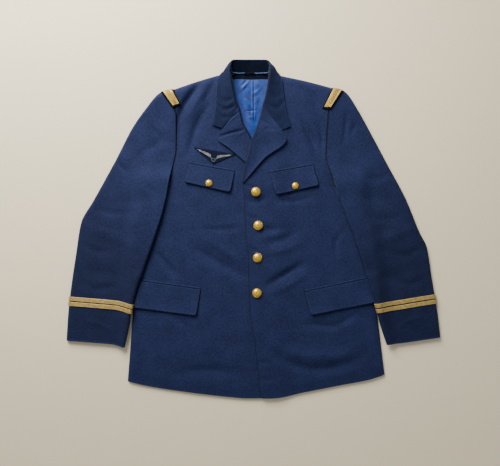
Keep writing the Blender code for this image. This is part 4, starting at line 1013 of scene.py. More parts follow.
class Maker:
    """Keeps the materials, makes cloth walls and hands finished pieces to the frame."""

    def __init__(self) -> None:
        """Make every finish once."""
        self.materials = {finish: finish.value.make() for finish in Finish}

    def wall(self, name: str, finish: Finish, upper: Grid, lower: Grid, wear_and_shade: Grid | None = None,
             pattern: Grid | None = None, degrees: float | None = 0.0) -> bpy.types.Object:
        """Make a closed wall between two grids of points.

        Args:
            name: the piece's name.
            finish: its finish.
            upper: the upper points, in rows.
            lower: the lower points, in rows of the same length.
            wear_and_shade: how worn each point is, and below zero how much painted shade it has, as one-number
                tuples, or None.
            pattern: how far the weave's pattern stands up at each point, or None.
            degrees: the grain's angle to +Y in the plan, or None where it follows the rows.

        Returns:
            The piece.
        """
        rows, columns = len(upper), len(upper[0])
        size = rows * columns
        faces = []
        for r in range(rows - 1):
            for c in range(columns - 1):
                a = r * columns + c
                faces.append((a, a + 1, a + columns + 1, a + columns))
                faces.append((size + a, size + a + columns, size + a + columns + 1, size + a + 1))
        rim = list(range(columns)) + [r * columns + columns - 1 for r in range(1, rows)]
        rim += [(rows - 1) * columns + c for c in range(columns - 2, -1, -1)]
        rim += [r * columns for r in range(rows - 2, 0, -1)]
        faces += [(a, size + a, size + b, b) for a, b in zip(rim, rim[1:] + rim[:1])]
        corners = [point for row in upper for point in row] + [point for row in lower for point in row]
        return self.piece(name, finish, corners, faces, self.grain_of(upper, degrees) * 2,
                          self.flat_list(wear_and_shade) * 2, self.flat_list(pattern) * 2)

    def tube(self, name: str, finish: Finish, outer: Grid, inner: Grid, wear_and_shade: Grid,
             degrees: float) -> bpy.types.Object:
        """Make a tube's wall between closed outer and inner rings, open at both ends."""
        rings, count = len(outer), len(outer[0])
        size = rings * count
        faces = []
        for r in range(rings - 1):
            for k in range(count):
                a, b = r * count + k, r * count + (k + 1) % count
                faces.append((a, b, b + count, a + count))
                faces.append((size + a, size + a + count, size + b + count, size + b))
        for r in (0, rings - 1):
            for k in range(count):
                a, b = r * count + k, r * count + (k + 1) % count
                faces.append((a, size + a, size + b, b))
        corners = [point for ring in outer for point in ring] + [point for ring in inner for point in ring]
        return self.piece(name, finish, corners, faces, self.grain_of(outer, degrees) * 2,
                          self.flat_list(wear_and_shade) * 2, [])

    @staticmethod
    def flat_list(grid: Grid | None) -> list[float]:
        """Return a grid of one-number tuples as a plain list."""
        return [value[0] for row in grid for value in row] if grid else []

    @staticmethod
    def grain_of(grid: Grid, degrees: float | None) -> list[Point]:
        """Return the place of each point on the flat cloth, in metres."""
        if degrees is not None:
            cos, sin = math.cos(math.radians(degrees)), math.sin(math.radians(degrees))
            return [(p[0] * cos + p[1] * sin, p[1] * cos - p[0] * sin) for row in grid for p in row]
        result, down = [], [0.0] * len(grid[0])
        for index, row in enumerate(grid):
            across = 0.0
            for c, point in enumerate(row):
                across += math.dist(point, row[c - 1]) if c else 0.0
                down[c] += math.dist(point, grid[index - 1][c]) if index else 0.0
                result.append((across, down[c]))
        return result

    def piece(self, name: str, finish: Finish, corners: list[Point], faces: list[Point], grain: list[Point],
              wear_and_shade: list[float], pattern: list[float]) -> bpy.types.Object:
        """Make a smooth mesh piece with its grain map and its attributes for worn edges, painted shade and
        pattern.
        """
        mesh = bpy.data.meshes.new(name)
        mesh.from_pydata(corners, [], faces)
        shape = bmesh.new()
        shape.from_mesh(mesh)
        bmesh.ops.recalc_face_normals(shape, faces=shape.faces)
        shape.to_mesh(mesh)
        shape.free()
        uv = mesh.uv_layers.new(name="grain")
        for loop in mesh.loops:
            uv.data[loop.index].uv = grain[loop.vertex_index][:2]
        for label, values in (("wear_and_shade", wear_and_shade), ("pattern", pattern)):
            if values:
                mesh.attributes.new(label, "FLOAT", "POINT").data.foreach_set("value", values)
        mesh.materials.append(self.materials[finish])
        thing = bpy.data.objects.new(name, mesh)
        bpy.context.scene.collection.objects.link(thing)
        mesh.polygons.foreach_set("use_smooth", [True] * len(mesh.polygons))
        mesh.set_sharp_from_angle(angle=math.radians(60))
        return thing

    def joined(self, name: str, meshes: list[bpy.types.Mesh]) -> bpy.types.Object:
        """Join plain meshes that hold their materials into one piece."""
        things = [bpy.data.objects.new(name, mesh) for mesh in meshes]
        for thing in things:
            bpy.context.scene.collection.objects.link(thing)
            thing.data.polygons.foreach_set("use_smooth", [True] * len(thing.data.polygons))
        if len(things) > 1:
            with bpy.context.temp_override(active_object=things[0], selected_editable_objects=things):
                bpy.ops.object.join()
        things[0].name = name
        return things[0]

    def settle(self, thing: bpy.types.Object, slot: str, nodes: tuple[str, ...] = ()) -> None:
        """Hand a finished piece to the frame and hide the solids that it stands for; its cut is looked up but
        not passed on.

        Args:
            thing: the piece.
            slot: a name for its finish; not used.
            nodes: the solids that it stands for.
        """
        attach(thing, "root")
        if nodes:
            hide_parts(*nodes)
        cut = CUTS.get(nodes[0] if nodes else thing.name)
        if cut:
            list(cut.rests_on)
        area = sum(face.area for face in thing.data.polygons)
        LOG.info("%s: %d faces, %.4f square metres in all", thing.name, len(thing.data.polygons), area)

    def laid(self, name: str, finish: Finish, plan: Plan, columns: list[float], rows: list[float],
             under: Callable[[float, float], float], thickness: float, size: Point,
             lift: Callable[[float, float], float] | None = None, round_edge: float = 1.5 * MM,
             relief: Callable[[float, float], Point] | None = None,
             degrees: float | None = 0.0) -> bpy.types.Object:
        """Make a flat piece that follows what it lies on, with rounded edges.

        Args:
            name: the piece's name.
            finish: its finish.
            plan: its place for each share across and down.
            columns: the shares across.
            rows: the shares down.
            under: the height of what it lies on.
            thickness: its thickness.
            size: about how wide and how long it is.
            lift: how far it stands off what it lies on, for each share.
            round_edge: the radius of its edges.
            relief: the height and the pattern of the weave's relief, for each share.
            degrees: the grain's angle to +Y, or None where it follows the rows.

        Returns:
            The piece.
        """
        low, high, wear_and_shade, pattern = [], [], [], []
        for v in rows:
            for grid in (low, high, wear_and_shade, pattern):
                grid.append([])
            for u in columns:
                x, y = plan(u, v)[:2]
                from_side, from_end = min(u, 1.0 - u) * size[0], min(v, 1.0 - v) * size[1]
                edge = turned_down(from_side, round_edge) * turned_down(from_end, round_edge)
                raised, shown = relief(u, v) if relief else (0.0, PLAIN_TONE)
                z = under(x, y) + GAP + (lift(u, v) if lift else 0.0)
                low[-1].append((x, y, z + 0.3 * thickness * (1.0 - edge)))
                high[-1].append((x, y, z + thickness * (0.45 + 0.55 * edge) + raised * edge))
                # Painted shade: a dark outline within about 2 mm of the sides and the far end, with a paler
                # worn line just inside it.
                near = min(from_side, (1.0 - v) * size[1])
                pale = math.exp(-((near - 2.8 * MM) / (1.2 * MM)) ** 2)
                wear_and_shade[-1].append((EDGE_WEAR_AND_SHADE * (pale - 1.0 + smooth_step(near, 0.5 * MM, 2.0 * MM)),))
                pattern[-1].append((shown,))
        return self.wall(name, finish, high, low, wear_and_shade, pattern, degrees)


@dataclass
class Body:
    """The two halves of the back, the lining that shows in the neck, and the two fronts."""

    maker: Maker
    column_step: float = 2.9 * MM
    row_step: float = 4.0 * MM
    thickness: float = 2.6 * MM
    pieces: dict[str, bpy.types.Object] = field(default_factory=dict)

    @staticmethod
    def side(left: bool, inset: float, count: int = 12) -> tuple[list[Point], list[Point]]:
        """Return a front's outer line: along the armhole seam, and then down the side."""
        sign = 1.0 if left else -1.0
        armhole = path(ARMHOLE_LEFT if left else ARMHOLE_RIGHT)
        seam = [armhole(0.5 - 0.5 * math.cos(math.pi * share)) for share in even(count)]
        seam = moved_in(seam, -sign * inset)
        side = SIDE_LEFT if left else SIDE_RIGHT
        below = side if inset < 1.0 * MM else moved_in(side, -sign * inset)
        return [point for point in seam if point[1] > UNDERARM_Y], below

    @classmethod
    def front_plan(cls, left: bool) -> tuple[Plan, float]:
        """Return a front's plan, and the share at which its side leaves the armhole."""
        if left:
            roll = [point for point in moved_in(ROLL_LEFT, 4.6 * MM) if point[1] < 0.305]
            inner = NECK_LEFT + roll + FRONT_EDGE_LEFT
        else:
            roll = [point for point in moved_in(ROLL_RIGHT, -5.6 * MM) if point[1] < 0.305]
            inner = NECK_RIGHT + roll + FRONT_EDGE_RIGHT
        seam, below = cls.side(left, 0.2 * MM, 64)
        side = seam + below
        shares = shares_of_fall(side)
        middle_x, middle_y = mix(inner[0], side[0], 0.5)
        shoulder = [inner[0], (middle_x, middle_y + 1.6 * MM), side[0]]
        hem = path(HEM_LEFT if left else HEM_RIGHT)
        plan = patch(path(shoulder), hem, path(inner, shares_of_fall(inner)), path(side, shares))
        return plan, shares[len(seam) - 1]

    def make_front(self, name: str, left: bool) -> None:
        """Make a front, which turns down to the floor at the shoulder and at the side."""
        plan, underarm = self.front_plan(left)
        high, low, wear_and_shade = [], [], []
        for v in graded(BODY_LENGTH, self.row_step, SHOULDER_ROUND):
            outer, inner = plan(1.0, v), plan(0.0, v)
            for grid in (high, low, wear_and_shade):
                grid.append([])
            for u in graded(0.29, self.column_step, end=SIDE_ROUND):
                x, y = plan(u, v)
                full = JacketShape.front_top(x, y, left) - 1.2 * MM * smooth_step(v, 0.96, 1.0)
                above_underarm = 1.0 - smooth_step(v, underarm, underarm + 0.03)
                turn = turned_down(math.dist((x, y), outer) + SIDE_ROUND * above_underarm, SIDE_ROUND)
                turn *= turned_down(math.dist((x, y), plan(u, 0.0)), SHOULDER_ROUND)
                top = EDGE_TOP + (full - EDGE_TOP) * turn
                from_edge, from_hem = math.dist((x, y), inner), BODY_LENGTH * (1.0 - v)
                edge = turned_down(from_edge, 1.5 * MM) * turned_down(from_hem, 1.5 * MM)
                high[-1].append((x, y, top - 1.1 * MM * (1.0 - edge)))
                low[-1].append((x, y, max(top - self.thickness + 0.6 * MM * (1.0 - edge), 0.0)))
                # Painted shade: a dark line along the armhole seam and along the inner edge (neck, roll and
                # front edge); the hem is paler where worn.
                seam = 1.0 - smooth_step(math.dist((x, y), outer), 0.6 * MM, 2.8 * MM) if v < underarm else 0.0
                crease = max(seam, FRONT_EDGE_SHADE * (1.0 - smooth_step(from_edge, 0.3 * MM, 2.4 * MM)))
                wear_and_shade[-1].append((1.0 - smooth_step(from_hem, 0.6 * MM, 3.4 * MM) - crease,))
        self.pieces[name] = self.maker.wall(f"{name}_cloth", Finish.WOOL, high, low, wear_and_shade,
                                            degrees=FRONT_GRAIN if left else -FRONT_GRAIN)
        self.maker.settle(self.pieces[name], "navy_wool", (name,))

    def make_back(self, name: str, left: bool) -> None:
        """Make half of the back, flat on the floor, inside the fronts' turned edges."""
        sign, inset = (1.0 if left else -1.0), 7.0 * MM
        seam, below = self.side(left, inset)
        under_arm = self.side(left, 1.2 * MM, 24)[0]
        seam = [point for point in seam if point[1] > 0.20] + [point for point in under_arm if point[1] < 0.18]
        outer = seam + below
        outer[0] = (seam[0][0], seam[0][1] - inset)
        outer[-1] = (below[-1][0], below[-1][1] + 2.0 * MM)
        neck_x = 0.050 if left else 0.066
        top = [(sign * 0.25 * MM, 0.3635), (sign * (neck_x - 0.010), 0.3630), (sign * neck_x, 0.3575), outer[0]]
        centre = [top[0], (top[0][0], -0.3950)]
        hem = HEM_LEFT if left else HEM_RIGHT
        bottom = [centre[-1]] + [(x, y + 2.0 * MM) for x, y in hem if sign * x > 0.04] + [outer[-1]]
        bottom = [point for index, point in enumerate(bottom) if index == 0 or point != bottom[index - 1]]
        plan = patch(path(top), path(bottom), path(centre), path(outer, shares_of_fall(outer)))
        points = [[plan(u, v) for u in graded(0.25, 9.0 * MM)] for v in graded(BODY_LENGTH, 10.0 * MM)]
        high = [[(x, y, BACK_WALL) for x, y in row] for row in points]
        low = [[(x, y, 0.0) for x, y in row] for row in points]
        self.pieces[name] = self.maker.wall(f"{name}_cloth", Finish.WOOL, high, low)
        self.maker.settle(self.pieces[name], "navy_wool", (name,))

    def make_lining(self) -> None:
        """Make the back lining, with its centre seam and its pulls, and the dark strip above it."""
        corners = [(-0.056, 0.3625), (0.042, 0.3625), (0.036, 0.178), (-0.036, 0.178)]

        def under(x: float, y: float) -> float:
            middle = -0.002 - 0.006 * (y - 0.2165) / 0.15
            half_opening = 0.0415 * max(y - 0.2165, 0.0) / 0.15 + 0.0001
            inside = smooth_step(1.0 - abs(x - middle) / half_opening, 0.15, 0.6)
            inside *= smooth_step(y, 0.240, 0.275) * (1.0 - smooth_step(y, 0.34, 0.36))
            waves = 0.9 * MM + JacketShape.lining.height(x, y) + crumple(x, y, 0.012, 0.5 * MM, 5.0)
            return LINING_TOP - LINING_WALL - GAP + inside * max(waves, 0.0)

        def plan(u: float, v: float) -> Point:
            return mix(mix(corners[0], corners[1], u), mix(corners[3], corners[2], u), v)

        lining = self.maker.laid("back_lining_satin", Finish.SATIN, plan, even(84), even(120), under,
                                 LINING_WALL, (0.095, 0.18))
        self.maker.settle(lining, "blue_lining", ("back_lining",))
        surface = Surface(lining)

        # A thin dark strip across the top of the lining, below the piping.
        def band_plan(u: float, v: float) -> Point:
            return -0.0500 + 0.0860 * u, 0.3636 - 0.0098 * v + 0.0006 * math.sin(9.0 * u)

        def band_under(x: float, y: float) -> float:
            return max(surface.read(x, y), 3.8 * MM) + 0.4 * MM * smooth_step(y, 0.358, 0.363)

        band = self.maker.laid("dark_neck_strip", Finish.STAND, band_plan, even(60), even(8), band_under,
                               0.9 * MM, (0.081, 0.01), round_edge=0.8 * MM)
        self.maker.settle(band, "black_felt")


@dataclass
class Lapels:
    """The two lapels, folded back along their roll lines."""

    maker: Maker
    body: Body
    rows: int = 130
    pieces: dict[str, bpy.types.Object] = field(default_factory=dict)

    def make(self, name: str, left: bool) -> None:
        """Make one lapel on its front."""
        front = Surface(self.body.pieces["front_left" if left else "front_right"])

        def under(x: float, y: float) -> float:
            height = max(JacketShape.front_top(x, y, left), front.read(x, y, 2.0 * MM))
            return height + JacketShape.leaves.height(x, y)

        roll = path(ROLL_LEFT if left else ROLL_RIGHT)
        edge = path(LAPEL_EDGE_LEFT if left else LAPEL_EDGE_RIGHT)
        high, low, wear_and_shade = [], [], []
        for v in even(self.rows):
            roll_x, roll_y = roll(v)
            flat = JacketShape.front_top(roll_x, roll_y, left) + GAP + LAPEL_WALL
            if left:
                low_share = smooth_step(-roll_y, -0.236, -0.2195) * (flat - LAPEL_WALL - FRONT_WALL - 4.2 * MM)
                extra = ROLL_RISE * (1.0 - smooth_step(v, 0.55, 1.0)) + 0.3 * MM
            else:
                low_share = smooth_step(v, 0.86, 0.97) * (flat - LAPEL_WALL - 4.3 * MM)
                extra = ROLL_RISE * smooth_step(roll_y, 0.223, 0.262)
            roll_low = 4.4 * MM + low_share
            row = FallRow(roll_x, roll_y, *edge(v), flat + extra, roll_low, 0.0, 0.0)
            section = curled_section(row, 8, LAPEL_WALL, under, LAPEL_CURL, 2.2)
            lifted = LAPEL_LIFT * smooth_step(v, 0.03, 0.30) * (1.0 - smooth_step(v, 0.80, 0.97))
            section = [(away, height + lifted * (away / section[-1][0]) ** 3) for away, height in section]
            high.append(place_section(row, section, (0.0, 0.0)))
            low.append(place_section(row, inside_of(row, section, LAPEL_WALL), (0.0, 0.0)))
            wear_and_shade.append(edge_wear_and_roll_shade(row, section))
        self.pieces[name] = self.maker.wall(f"{name}_cloth", Finish.WOOL, high, low, wear_and_shade, degrees=None)
        self.maker.settle(self.pieces[name], "navy_wool", (name,))


FLAT_SHARES = graded(0.055, 2.2 * MM, end=2.2 * MM)


def curled_section(row: FallRow, curls: int, wall: float, under: Callable[[float, float], float], curl: float,
                   power: float) -> list[Point]:
    """Return the upper side of a folded section, from its low inner edge.

    Args:
        row: where the section's roll and outer edge are.
        curls: how many points go round the roll.
        wall: the cloth's thickness.
        under: the height of what it lies on.
        curl: the radius of the roll.
        power: how soon the section comes down from the roll.

    Returns:
        Pairs of the distance from the roll and the height.
    """
    reach = row.reach
    curl = min(curl, reach * 0.45)
    points = []
    for k in range(curls):
        angle = math.pi / 2 * k / (curls - 1)
        height = row.roll_low + (row.roll_top - row.roll_low) * math.sin(angle)
        points.append((curl * (1.0 - math.cos(angle)), height))
    start = under(*row.roll) + GAP + wall
    for share in FLAT_SHARES[1:]:
        x, y = mix(row.roll, row.edge, share)
        height = under(x, y) + GAP + wall + max(row.roll_top - start, 0.0) * (1.0 - share) ** power
        height += 0.8 * MM * share**3 - 0.45 * wall * (1.0 - turned_down((1.0 - share) * reach, 2.0 * MM))
        points.append((curl + (reach - curl) * share, height))
    return points


def tucked_section(row: FallRow, count: int) -> list[Point]:
    """Return the back neck's section: over the roll, down to the floor and a little way under."""
    reach = row.reach
    turn = min(2.4 * MM, reach * 0.5)
    control = [(0.0, row.roll_low), (0.2 * turn, row.roll_top - 0.8 * MM), (turn, row.roll_top),
               (0.92 * reach, row.roll_top * 0.72), (reach, row.roll_top * 0.40), (0.86 * reach, 0.8 * MM),
               (0.55 * reach, 0.0), (0.55 * reach - max(row.lap, 2.0 * MM), 0.0)]
    line = path(control)
    return [line(k / (count - 1)) for k in range(count)]


def inside_of(row: FallRow, section: list[Point], wall: float) -> list[Point]:
    """Return a section moved inwards along its own normals, less so at its outer edge."""
    result = []
    for k, point in enumerate(section):
        before, after = section[max(k - 1, 0)], section[min(k + 1, len(section) - 1)]
        along = Vector((after[0] - before[0], after[1] - before[1])).normalized()
        thin = wall * (0.4 + 0.6 * turned_down(abs(row.reach - point[0]), 2.0 * MM)) if row.tuck < 0.5 else wall
        result.append((point[0] + along.y * thin, point[1] - along.x * thin))
    return result


def edge_wear_and_roll_shade(row: FallRow, section: list[Point]) -> list[Point]:
    """Return how worn a folded section is along its outer edge, and below zero the painted shade on its roll.
    """
    result = []
    for away, _ in section:
        pale = 1.0 - smooth_step(row.reach - away, 0.8 * MM, 3.6 * MM)
        # Painted shade within a few millimetres of the roll.
        dark = ROLL_SHADE * (1.0 - smooth_step(away, 2.0 * MM, 7.0 * MM))
        result.append((pale - dark,))
    return result


def place_section(row: FallRow, section: list[Point], bend: Point) -> list[Point]:
    """Return a section's pairs as points, bent towards the notch at an end."""
    reach = row.reach
    out = (Vector(row.edge) - Vector(row.roll)) / reach
    points = []
    for distance, height in section:
        share = min(max(distance / reach, 0.0), 1.0)
        tent = share / NOTCH_SHARE if share < NOTCH_SHARE else (1.0 - share) / (1.0 - NOTCH_SHARE)
        x, y = (start + way * distance + off * tent for start, way, off in zip(row.roll, out, bend))
        points.append((x, y, height))
    return points


@dataclass
class Collar:
    """The collar fall, the black stand inside it, the blue piping at its foot and the hanger loop."""

    maker: Maker
    body: Body
    curls: int = 10
    pieces: dict[str, bpy.types.Object] = field(default_factory=dict)

    @staticmethod
    def notch_bend(row: FallRow, notch: Point) -> Point:
        """Return how far the notch lies off the straight line from a row's roll to its edge."""
        straight = mix(row.roll, row.edge, NOTCH_SHARE)
        return notch[0] - straight[0], notch[1] - straight[1]

    def make_fall(self) -> None:
        """Make the fall, which lies on both fronts and turns under itself round the back neck."""
        surface = Surface(self.body.pieces["front_right"], self.body.pieces["front_left"])
        rows = path(COLLAR, even(len(COLLAR) - 1))
        bends = {False: self.notch_bend(COLLAR[0], NOTCH_RIGHT), True: self.notch_bend(COLLAR[-1], NOTCH_LEFT)}
        high, low, wear_and_shade = [], [], []
        for share in graded(0.40, 2.6 * MM):
            row = FallRow(*rows(share))
            left = share > 0.5

            def under(x: float, y: float, left: bool = left) -> float:
                height = max(JacketShape.front_top(x, y, left), surface.read(x, y, 4.0 * MM))
                return height + JacketShape.leaves.height(x, y)

            lying = curled_section(row, self.curls, FALL_WALL, under, FALL_CURL, 1.9)
            tucked = tucked_section(row, len(lying))
            section = [mix(a, b, row.tuck) for a, b in zip(lying, tucked)]
            fade = max(1.0 - (1.0 - share if left else share) / 0.12, 0.0)
            bend = (bends[left][0] * fade, bends[left][1] * fade)
            wall = FALL_WALL - 0.9 * MM * row.tuck
            high.append(place_section(row, section, bend))
            low.append(place_section(row, inside_of(row, section, wall), bend))
            wear_and_shade.append(edge_wear_and_roll_shade(row, section) if row.tuck < 0.3 else [(0.0,)] * len(section))
        self.pieces["fall"] = self.maker.wall("collar_fall_cloth", Finish.COLLAR_WOOL, high, low, wear_and_shade,
                                              degrees=None)
        self.maker.settle(self.pieces["fall"], "navy_wool", ("collar_fall",))

    def make_stand(self) -> None:
        """Make the black inner side of the collar at the back neck."""
        upper = [(-0.0496, 0.3850), (-0.0446, 0.3905), (-0.0348, 0.3914), (-0.0010, 0.3917), (0.0248, 0.3911),
                 (0.0310, 0.3892), (0.0345, 0.3835)]
        lower = [(-0.0490, 0.3642), (-0.0010, 0.3640), (0.0338, 0.3642)]
        right = [upper[0], (-0.0503, 0.3760), lower[0]]
        left = [upper[-1], (0.0352, 0.3740), lower[-1]]
        plan = patch(path(upper), path(lower), path(right), path(left))
        heights = path([(0.0205,), (0.0162,), (0.0140,), (0.0162,), (0.0205,)])
        high, low = [], []
        for v in even(26):
            high.append([])
            low.append([])
            for u in even(80):
                x, y = plan(u, v)
                foot = 6.0 * MM + 3.0 * MM * abs(2.0 * u - 1.0) ** 3
                z = foot + (heights(u)[0] - foot) * (1.0 - v) ** 0.9
                z += crumple(x, y, 0.010, 0.35 * MM, 6.0) * math.sin(math.pi * v) * math.sin(math.pi * u)
                high[-1].append((x, y, z))
                low[-1].append((x, y, z - STAND_WALL))
        self.pieces["stand"] = self.maker.wall("collar_stand_cloth", Finish.STAND, high, low)
        self.maker.settle(self.pieces["stand"], "black_felt", ("collar_stand",))

    def make_piping(self) -> None:
        """Make the pale blue edge of the lining, felled to the stand."""
        surface = Surface(self.pieces["stand"])

        def plan(u: float, v: float) -> Point:
            return -0.0505 + 0.0860 * u, 0.3672 - 0.0022 * v + 0.0005 * math.sin(24.0 * u) * (1.0 - u)

        piping = self.maker.laid("lining_edge_satin", Finish.EDGE, plan, even(70), even(6),
                                 lambda x, y: max(surface.read(x, y), 6.0 * MM), 0.9 * MM, (0.086, 0.0022),
                                 round_edge=1.0 * MM)
        self.maker.settle(piping, "blue_lining")

    def make_loop(self) -> None:
        """Make the flat black hanger loop, sewn on at the neck seam."""
        def plan(u: float, v: float) -> Point:
            return -0.0225 + 0.0260 * u, 0.3668 - 0.0036 * v + 0.0012 * math.sin(math.pi * u)

        def under(x: float, y: float) -> float:
            return 7.4 * MM + 1.5 * MM * math.sin(math.pi * (x + 0.0225) / 0.0260)

        loop = self.maker.laid("hanger_loop_tape", Finish.FELT, plan, even(36), even(6), under, 0.9 * MM,
                               (0.026, 0.0036), round_edge=0.5 * MM)
        self.maker.settle(loop, "black_felt", ("hanger_loop",))


@dataclass
class Pocket:
    """One flap pocket: its flap, with a row of stitches along its edge, and the jetting above it."""

    maker: Maker
    name: str
    body: Body
    flap: bpy.types.Object | None = None

    def make(self) -> None:
        """Make the flap and the jetting on the front."""
        corners = FLAPS[self.name]
        left = corners[0][0] > 0.0
        width, height = math.dist(corners[0], corners[1]), math.dist(corners[1], corners[2])
        surface = Surface(self.body.pieces["front_left" if left else "front_right"])
        tilt = math.degrees(math.atan2(corners[1][1] - corners[0][1], corners[1][0] - corners[0][0]))
        tilt = tilt if left else tilt - 180.0

        def plan(u: float, v: float) -> Point:
            from_end = min(u, 1.0 - u) * width
            short = 0.0
            if from_end < FLAP_CORNER:
                short = FLAP_CORNER * (1.0 - math.sqrt(1.0 - (1.0 - from_end / FLAP_CORNER) ** 2))
            v *= 1.0 - short / height
            return mix(mix(corners[0], corners[1], u), mix(corners[3], corners[2], u), v)

        def under(x: float, y: float) -> float:
            return surface.read(x, y, 1.5 * MM)

        def lift(u: float, v: float) -> float:
            end = math.exp(-((u - 0.04) / 0.12) ** 2) + math.exp(-((u - 0.96) / 0.12) ** 2)
            return (2.6 + 1.2 * end) * MM * v * v + crumple(u * width, v * height, 0.03, 0.6 * MM, 11.0) * v

        columns, rows = graded(width, 2.0 * MM, 3.0 * MM, 3.0 * MM), graded(height, 2.0 * MM)
        self.flap = self.maker.laid(f"{self.name}_cloth", Finish.WOOL, plan, columns, rows, under, FLAP_WALL,
                                    (width, height), lift, 1.8 * MM, degrees=tilt)
        self.maker.settle(self.flap, "navy_wool", (self.name,))
        along = Vector(corners[1]) - Vector(corners[0])
        up = Vector((-along.y, along.x)).normalized() * (1.0 if left else -1.0)

        def strip(u: float, v: float) -> Point:
            x, y = mix(corners[0], corners[1], u)
            rise = SEAM_GAP + JETTING_WIDTH * (1.0 - v)
            return x + up.x * rise, y + up.y * rise

        jetting = self.name.replace("flap", "jetting")
        piece = self.maker.laid(f"{jetting}_cloth", Finish.WOOL, strip, graded(width, 3.0 * MM), even(8), under,
                                JETTING_WALL, (width, JETTING_WIDTH), round_edge=1.6 * MM, degrees=tilt)
        self.maker.settle(piece, "navy_wool", (jetting,))


@dataclass
class Sleeve:
    """One sleeve, and the two rings of flat braid above its cuff."""

    maker: Maker
    left: bool
    count: int = 128
    rings: int = 175
    cloth: bpy.types.Object | None = None

    @property
    def side(self) -> str:
        """Return the sleeve's side, as it stands in the names."""
        return "left" if self.left else "right"

    def plan(self) -> Plan:
        """Return the plan: across from the outer fold to the inner one, and down from the armhole."""
        rows = SLEEVE_LEFT if self.left else SLEEVE_RIGHT
        shares = [row.share for row in rows]
        outer = path([(row.outer_x, row.outer_y) for row in rows], shares)
        inner = path([(row.inner_x, row.inner_y) for row in rows], shares)
        armhole, cuff = (ARMHOLE_LEFT, CUFF_LEFT) if self.left else (ARMHOLE_RIGHT, CUFF_RIGHT)
        return patch(path(armhole), path(cuff), outer, inner)

    def ring(self, plan: Plan, v: float) -> tuple[list[Point], list[Point]]:
        """Return one ring's outer and inner points."""
        width = math.dist(plan(0.0, v), plan(1.0, v))
        head = 1.0 - smooth_step(v, 0.04, 0.20)
        hem = turned_down((1.0 - v) * SLEEVE_LENGTH, 1.6 * MM)
        outer, inner = [], []
        for k in range(self.count):
            angle = 2.0 * math.pi * k / self.count
            across = 0.5 - 0.5 * math.cos(angle)
            full = turned_down(across * width, SLEEVE_ROUND + (SHOULDER_ROUND - SLEEVE_ROUND) * head)
            full *= turned_down((1.0 - across) * width, SLEEVE_ROUND)
            upper = math.sin(angle) >= -1e-9
            x, y = plan(across, v)
            rest = JacketShape.sleeve_cover(x, y, self.left)
            thick = JacketShape.sleeve_thickness(x, y) - 0.5 * MM * (1.0 - hem)
            thick += JacketShape.shoulder_rise(x, y) * (1.0 - smooth_step(v, 0.10, 0.42))
            top = rest + EDGE_TOP + (thick - EDGE_TOP) * full
            outer.append((x, y, top if upper else rest + EDGE_TOP * (1.0 - full)))
            inset = min(4.0 * MM / width, 0.2)
            x, y = plan(inset + across * (1.0 - 2.0 * inset), v)
            floor = JacketShape.sleeve_cover(x, y, self.left) + SLEEVE_UNDER_WALL + 0.6 * MM * (1.0 - full)
            inner.append((x, y, floor + (SLEEVE_HOLLOW * full if upper else 0.0)))
        return outer, inner

    def make_cloth(self) -> None:
        """Make the sleeve's tube."""
        plan = self.plan()
        shares = graded(SLEEVE_LENGTH, SLEEVE_LENGTH / self.rings)
        rings = [self.ring(plan, v) for v in shares]
        # A mask of the inner fold, where the sleeve turns under, for painted shade.
        fold = [1.0 - smooth_step(0.1 + 0.1 * math.cos(2.0 * math.pi * k / self.count), 0.5 * MM, 3.0 * MM)
                for k in range(self.count)]
        wear_and_shade = []
        for v in shares:
            # A painted shade line at the armhole end and a paler worn line at the cuff end; painted shade over
            # the lower half and along the inner fold near the underarm.
            ends = smooth_step(v * SLEEVE_LENGTH, 0.6 * MM, 3.0 * MM)
            ends -= smooth_step((1.0 - v) * SLEEVE_LENGTH, 0.8 * MM, 3.4 * MM)
            shade = SLEEVE_SHADE * smooth_step(v, 0.25, 0.75)
            upper = UNDERARM_SHADE * (1.0 - smooth_step(v, 0.50, 0.75))
            wear_and_shade.append([(ends - shade - upper * painted_shade,) for painted_shade in fold])
        name = f"sleeve_{self.side}"
        outer, inner = [list(layer) for layer in zip(*rings)]
        self.cloth = self.maker.tube(f"{name}_cloth", Finish.WOOL, outer, inner, wear_and_shade,
                                     SLEEVE_GRAIN if self.left else -SLEEVE_GRAIN)
        self.maker.settle(self.cloth, "navy_wool", (name,))

    def make_braid(self) -> None:
        """Make the two rings of flat braid over the sleeve's upper side, from fold to fold."""
        plan = self.plan()
        for number, (outer_distance, inner_distance) in enumerate(BRAID_RINGS[self.side], start=1):
            high, low, pattern = [], [], []
            rows = graded(BRAID_WIDTH, 0.9 * MM, 0.8 * MM, 0.8 * MM)
            for share in rows:
                for grid in (high, low, pattern):
                    grid.append([])
                edge = turned_down(min(share, 1.0 - share) * BRAID_WIDTH, 0.8 * MM)
                cord = math.exp(-((min(share, 1.0 - share) * BRAID_WIDTH - 1.0 * MM) / (0.5 * MM)) ** 2)
                half = self.count // 2
                for k in range(half + 1):
                    across = 0.5 - 0.5 * math.cos(math.pi * k / half)
                    distance = outer_distance + (inner_distance - outer_distance) * across + share * BRAID_WIDTH
                    v = self.share_above_cuff(plan, across, distance)
                    low[-1].append(self.braid_point(plan, v, k, 0.7 * MM))
                    x, y, z = self.braid_point(plan, v, k, 1.7 * MM)
                    high[-1].append((x, y, z - 0.6 * MM * (1.0 - edge) + 0.14 * MM * cord))
                    pattern[-1].append((0.62 + 0.25 * cord,))
            name = f"cuff_braid_{self.side}_{number}"
            braid = self.maker.wall(f"{name}_weave", Finish.BRAID, high, low, pattern=pattern, degrees=None)
            self.maker.settle(braid, "gold_lace", (name,))

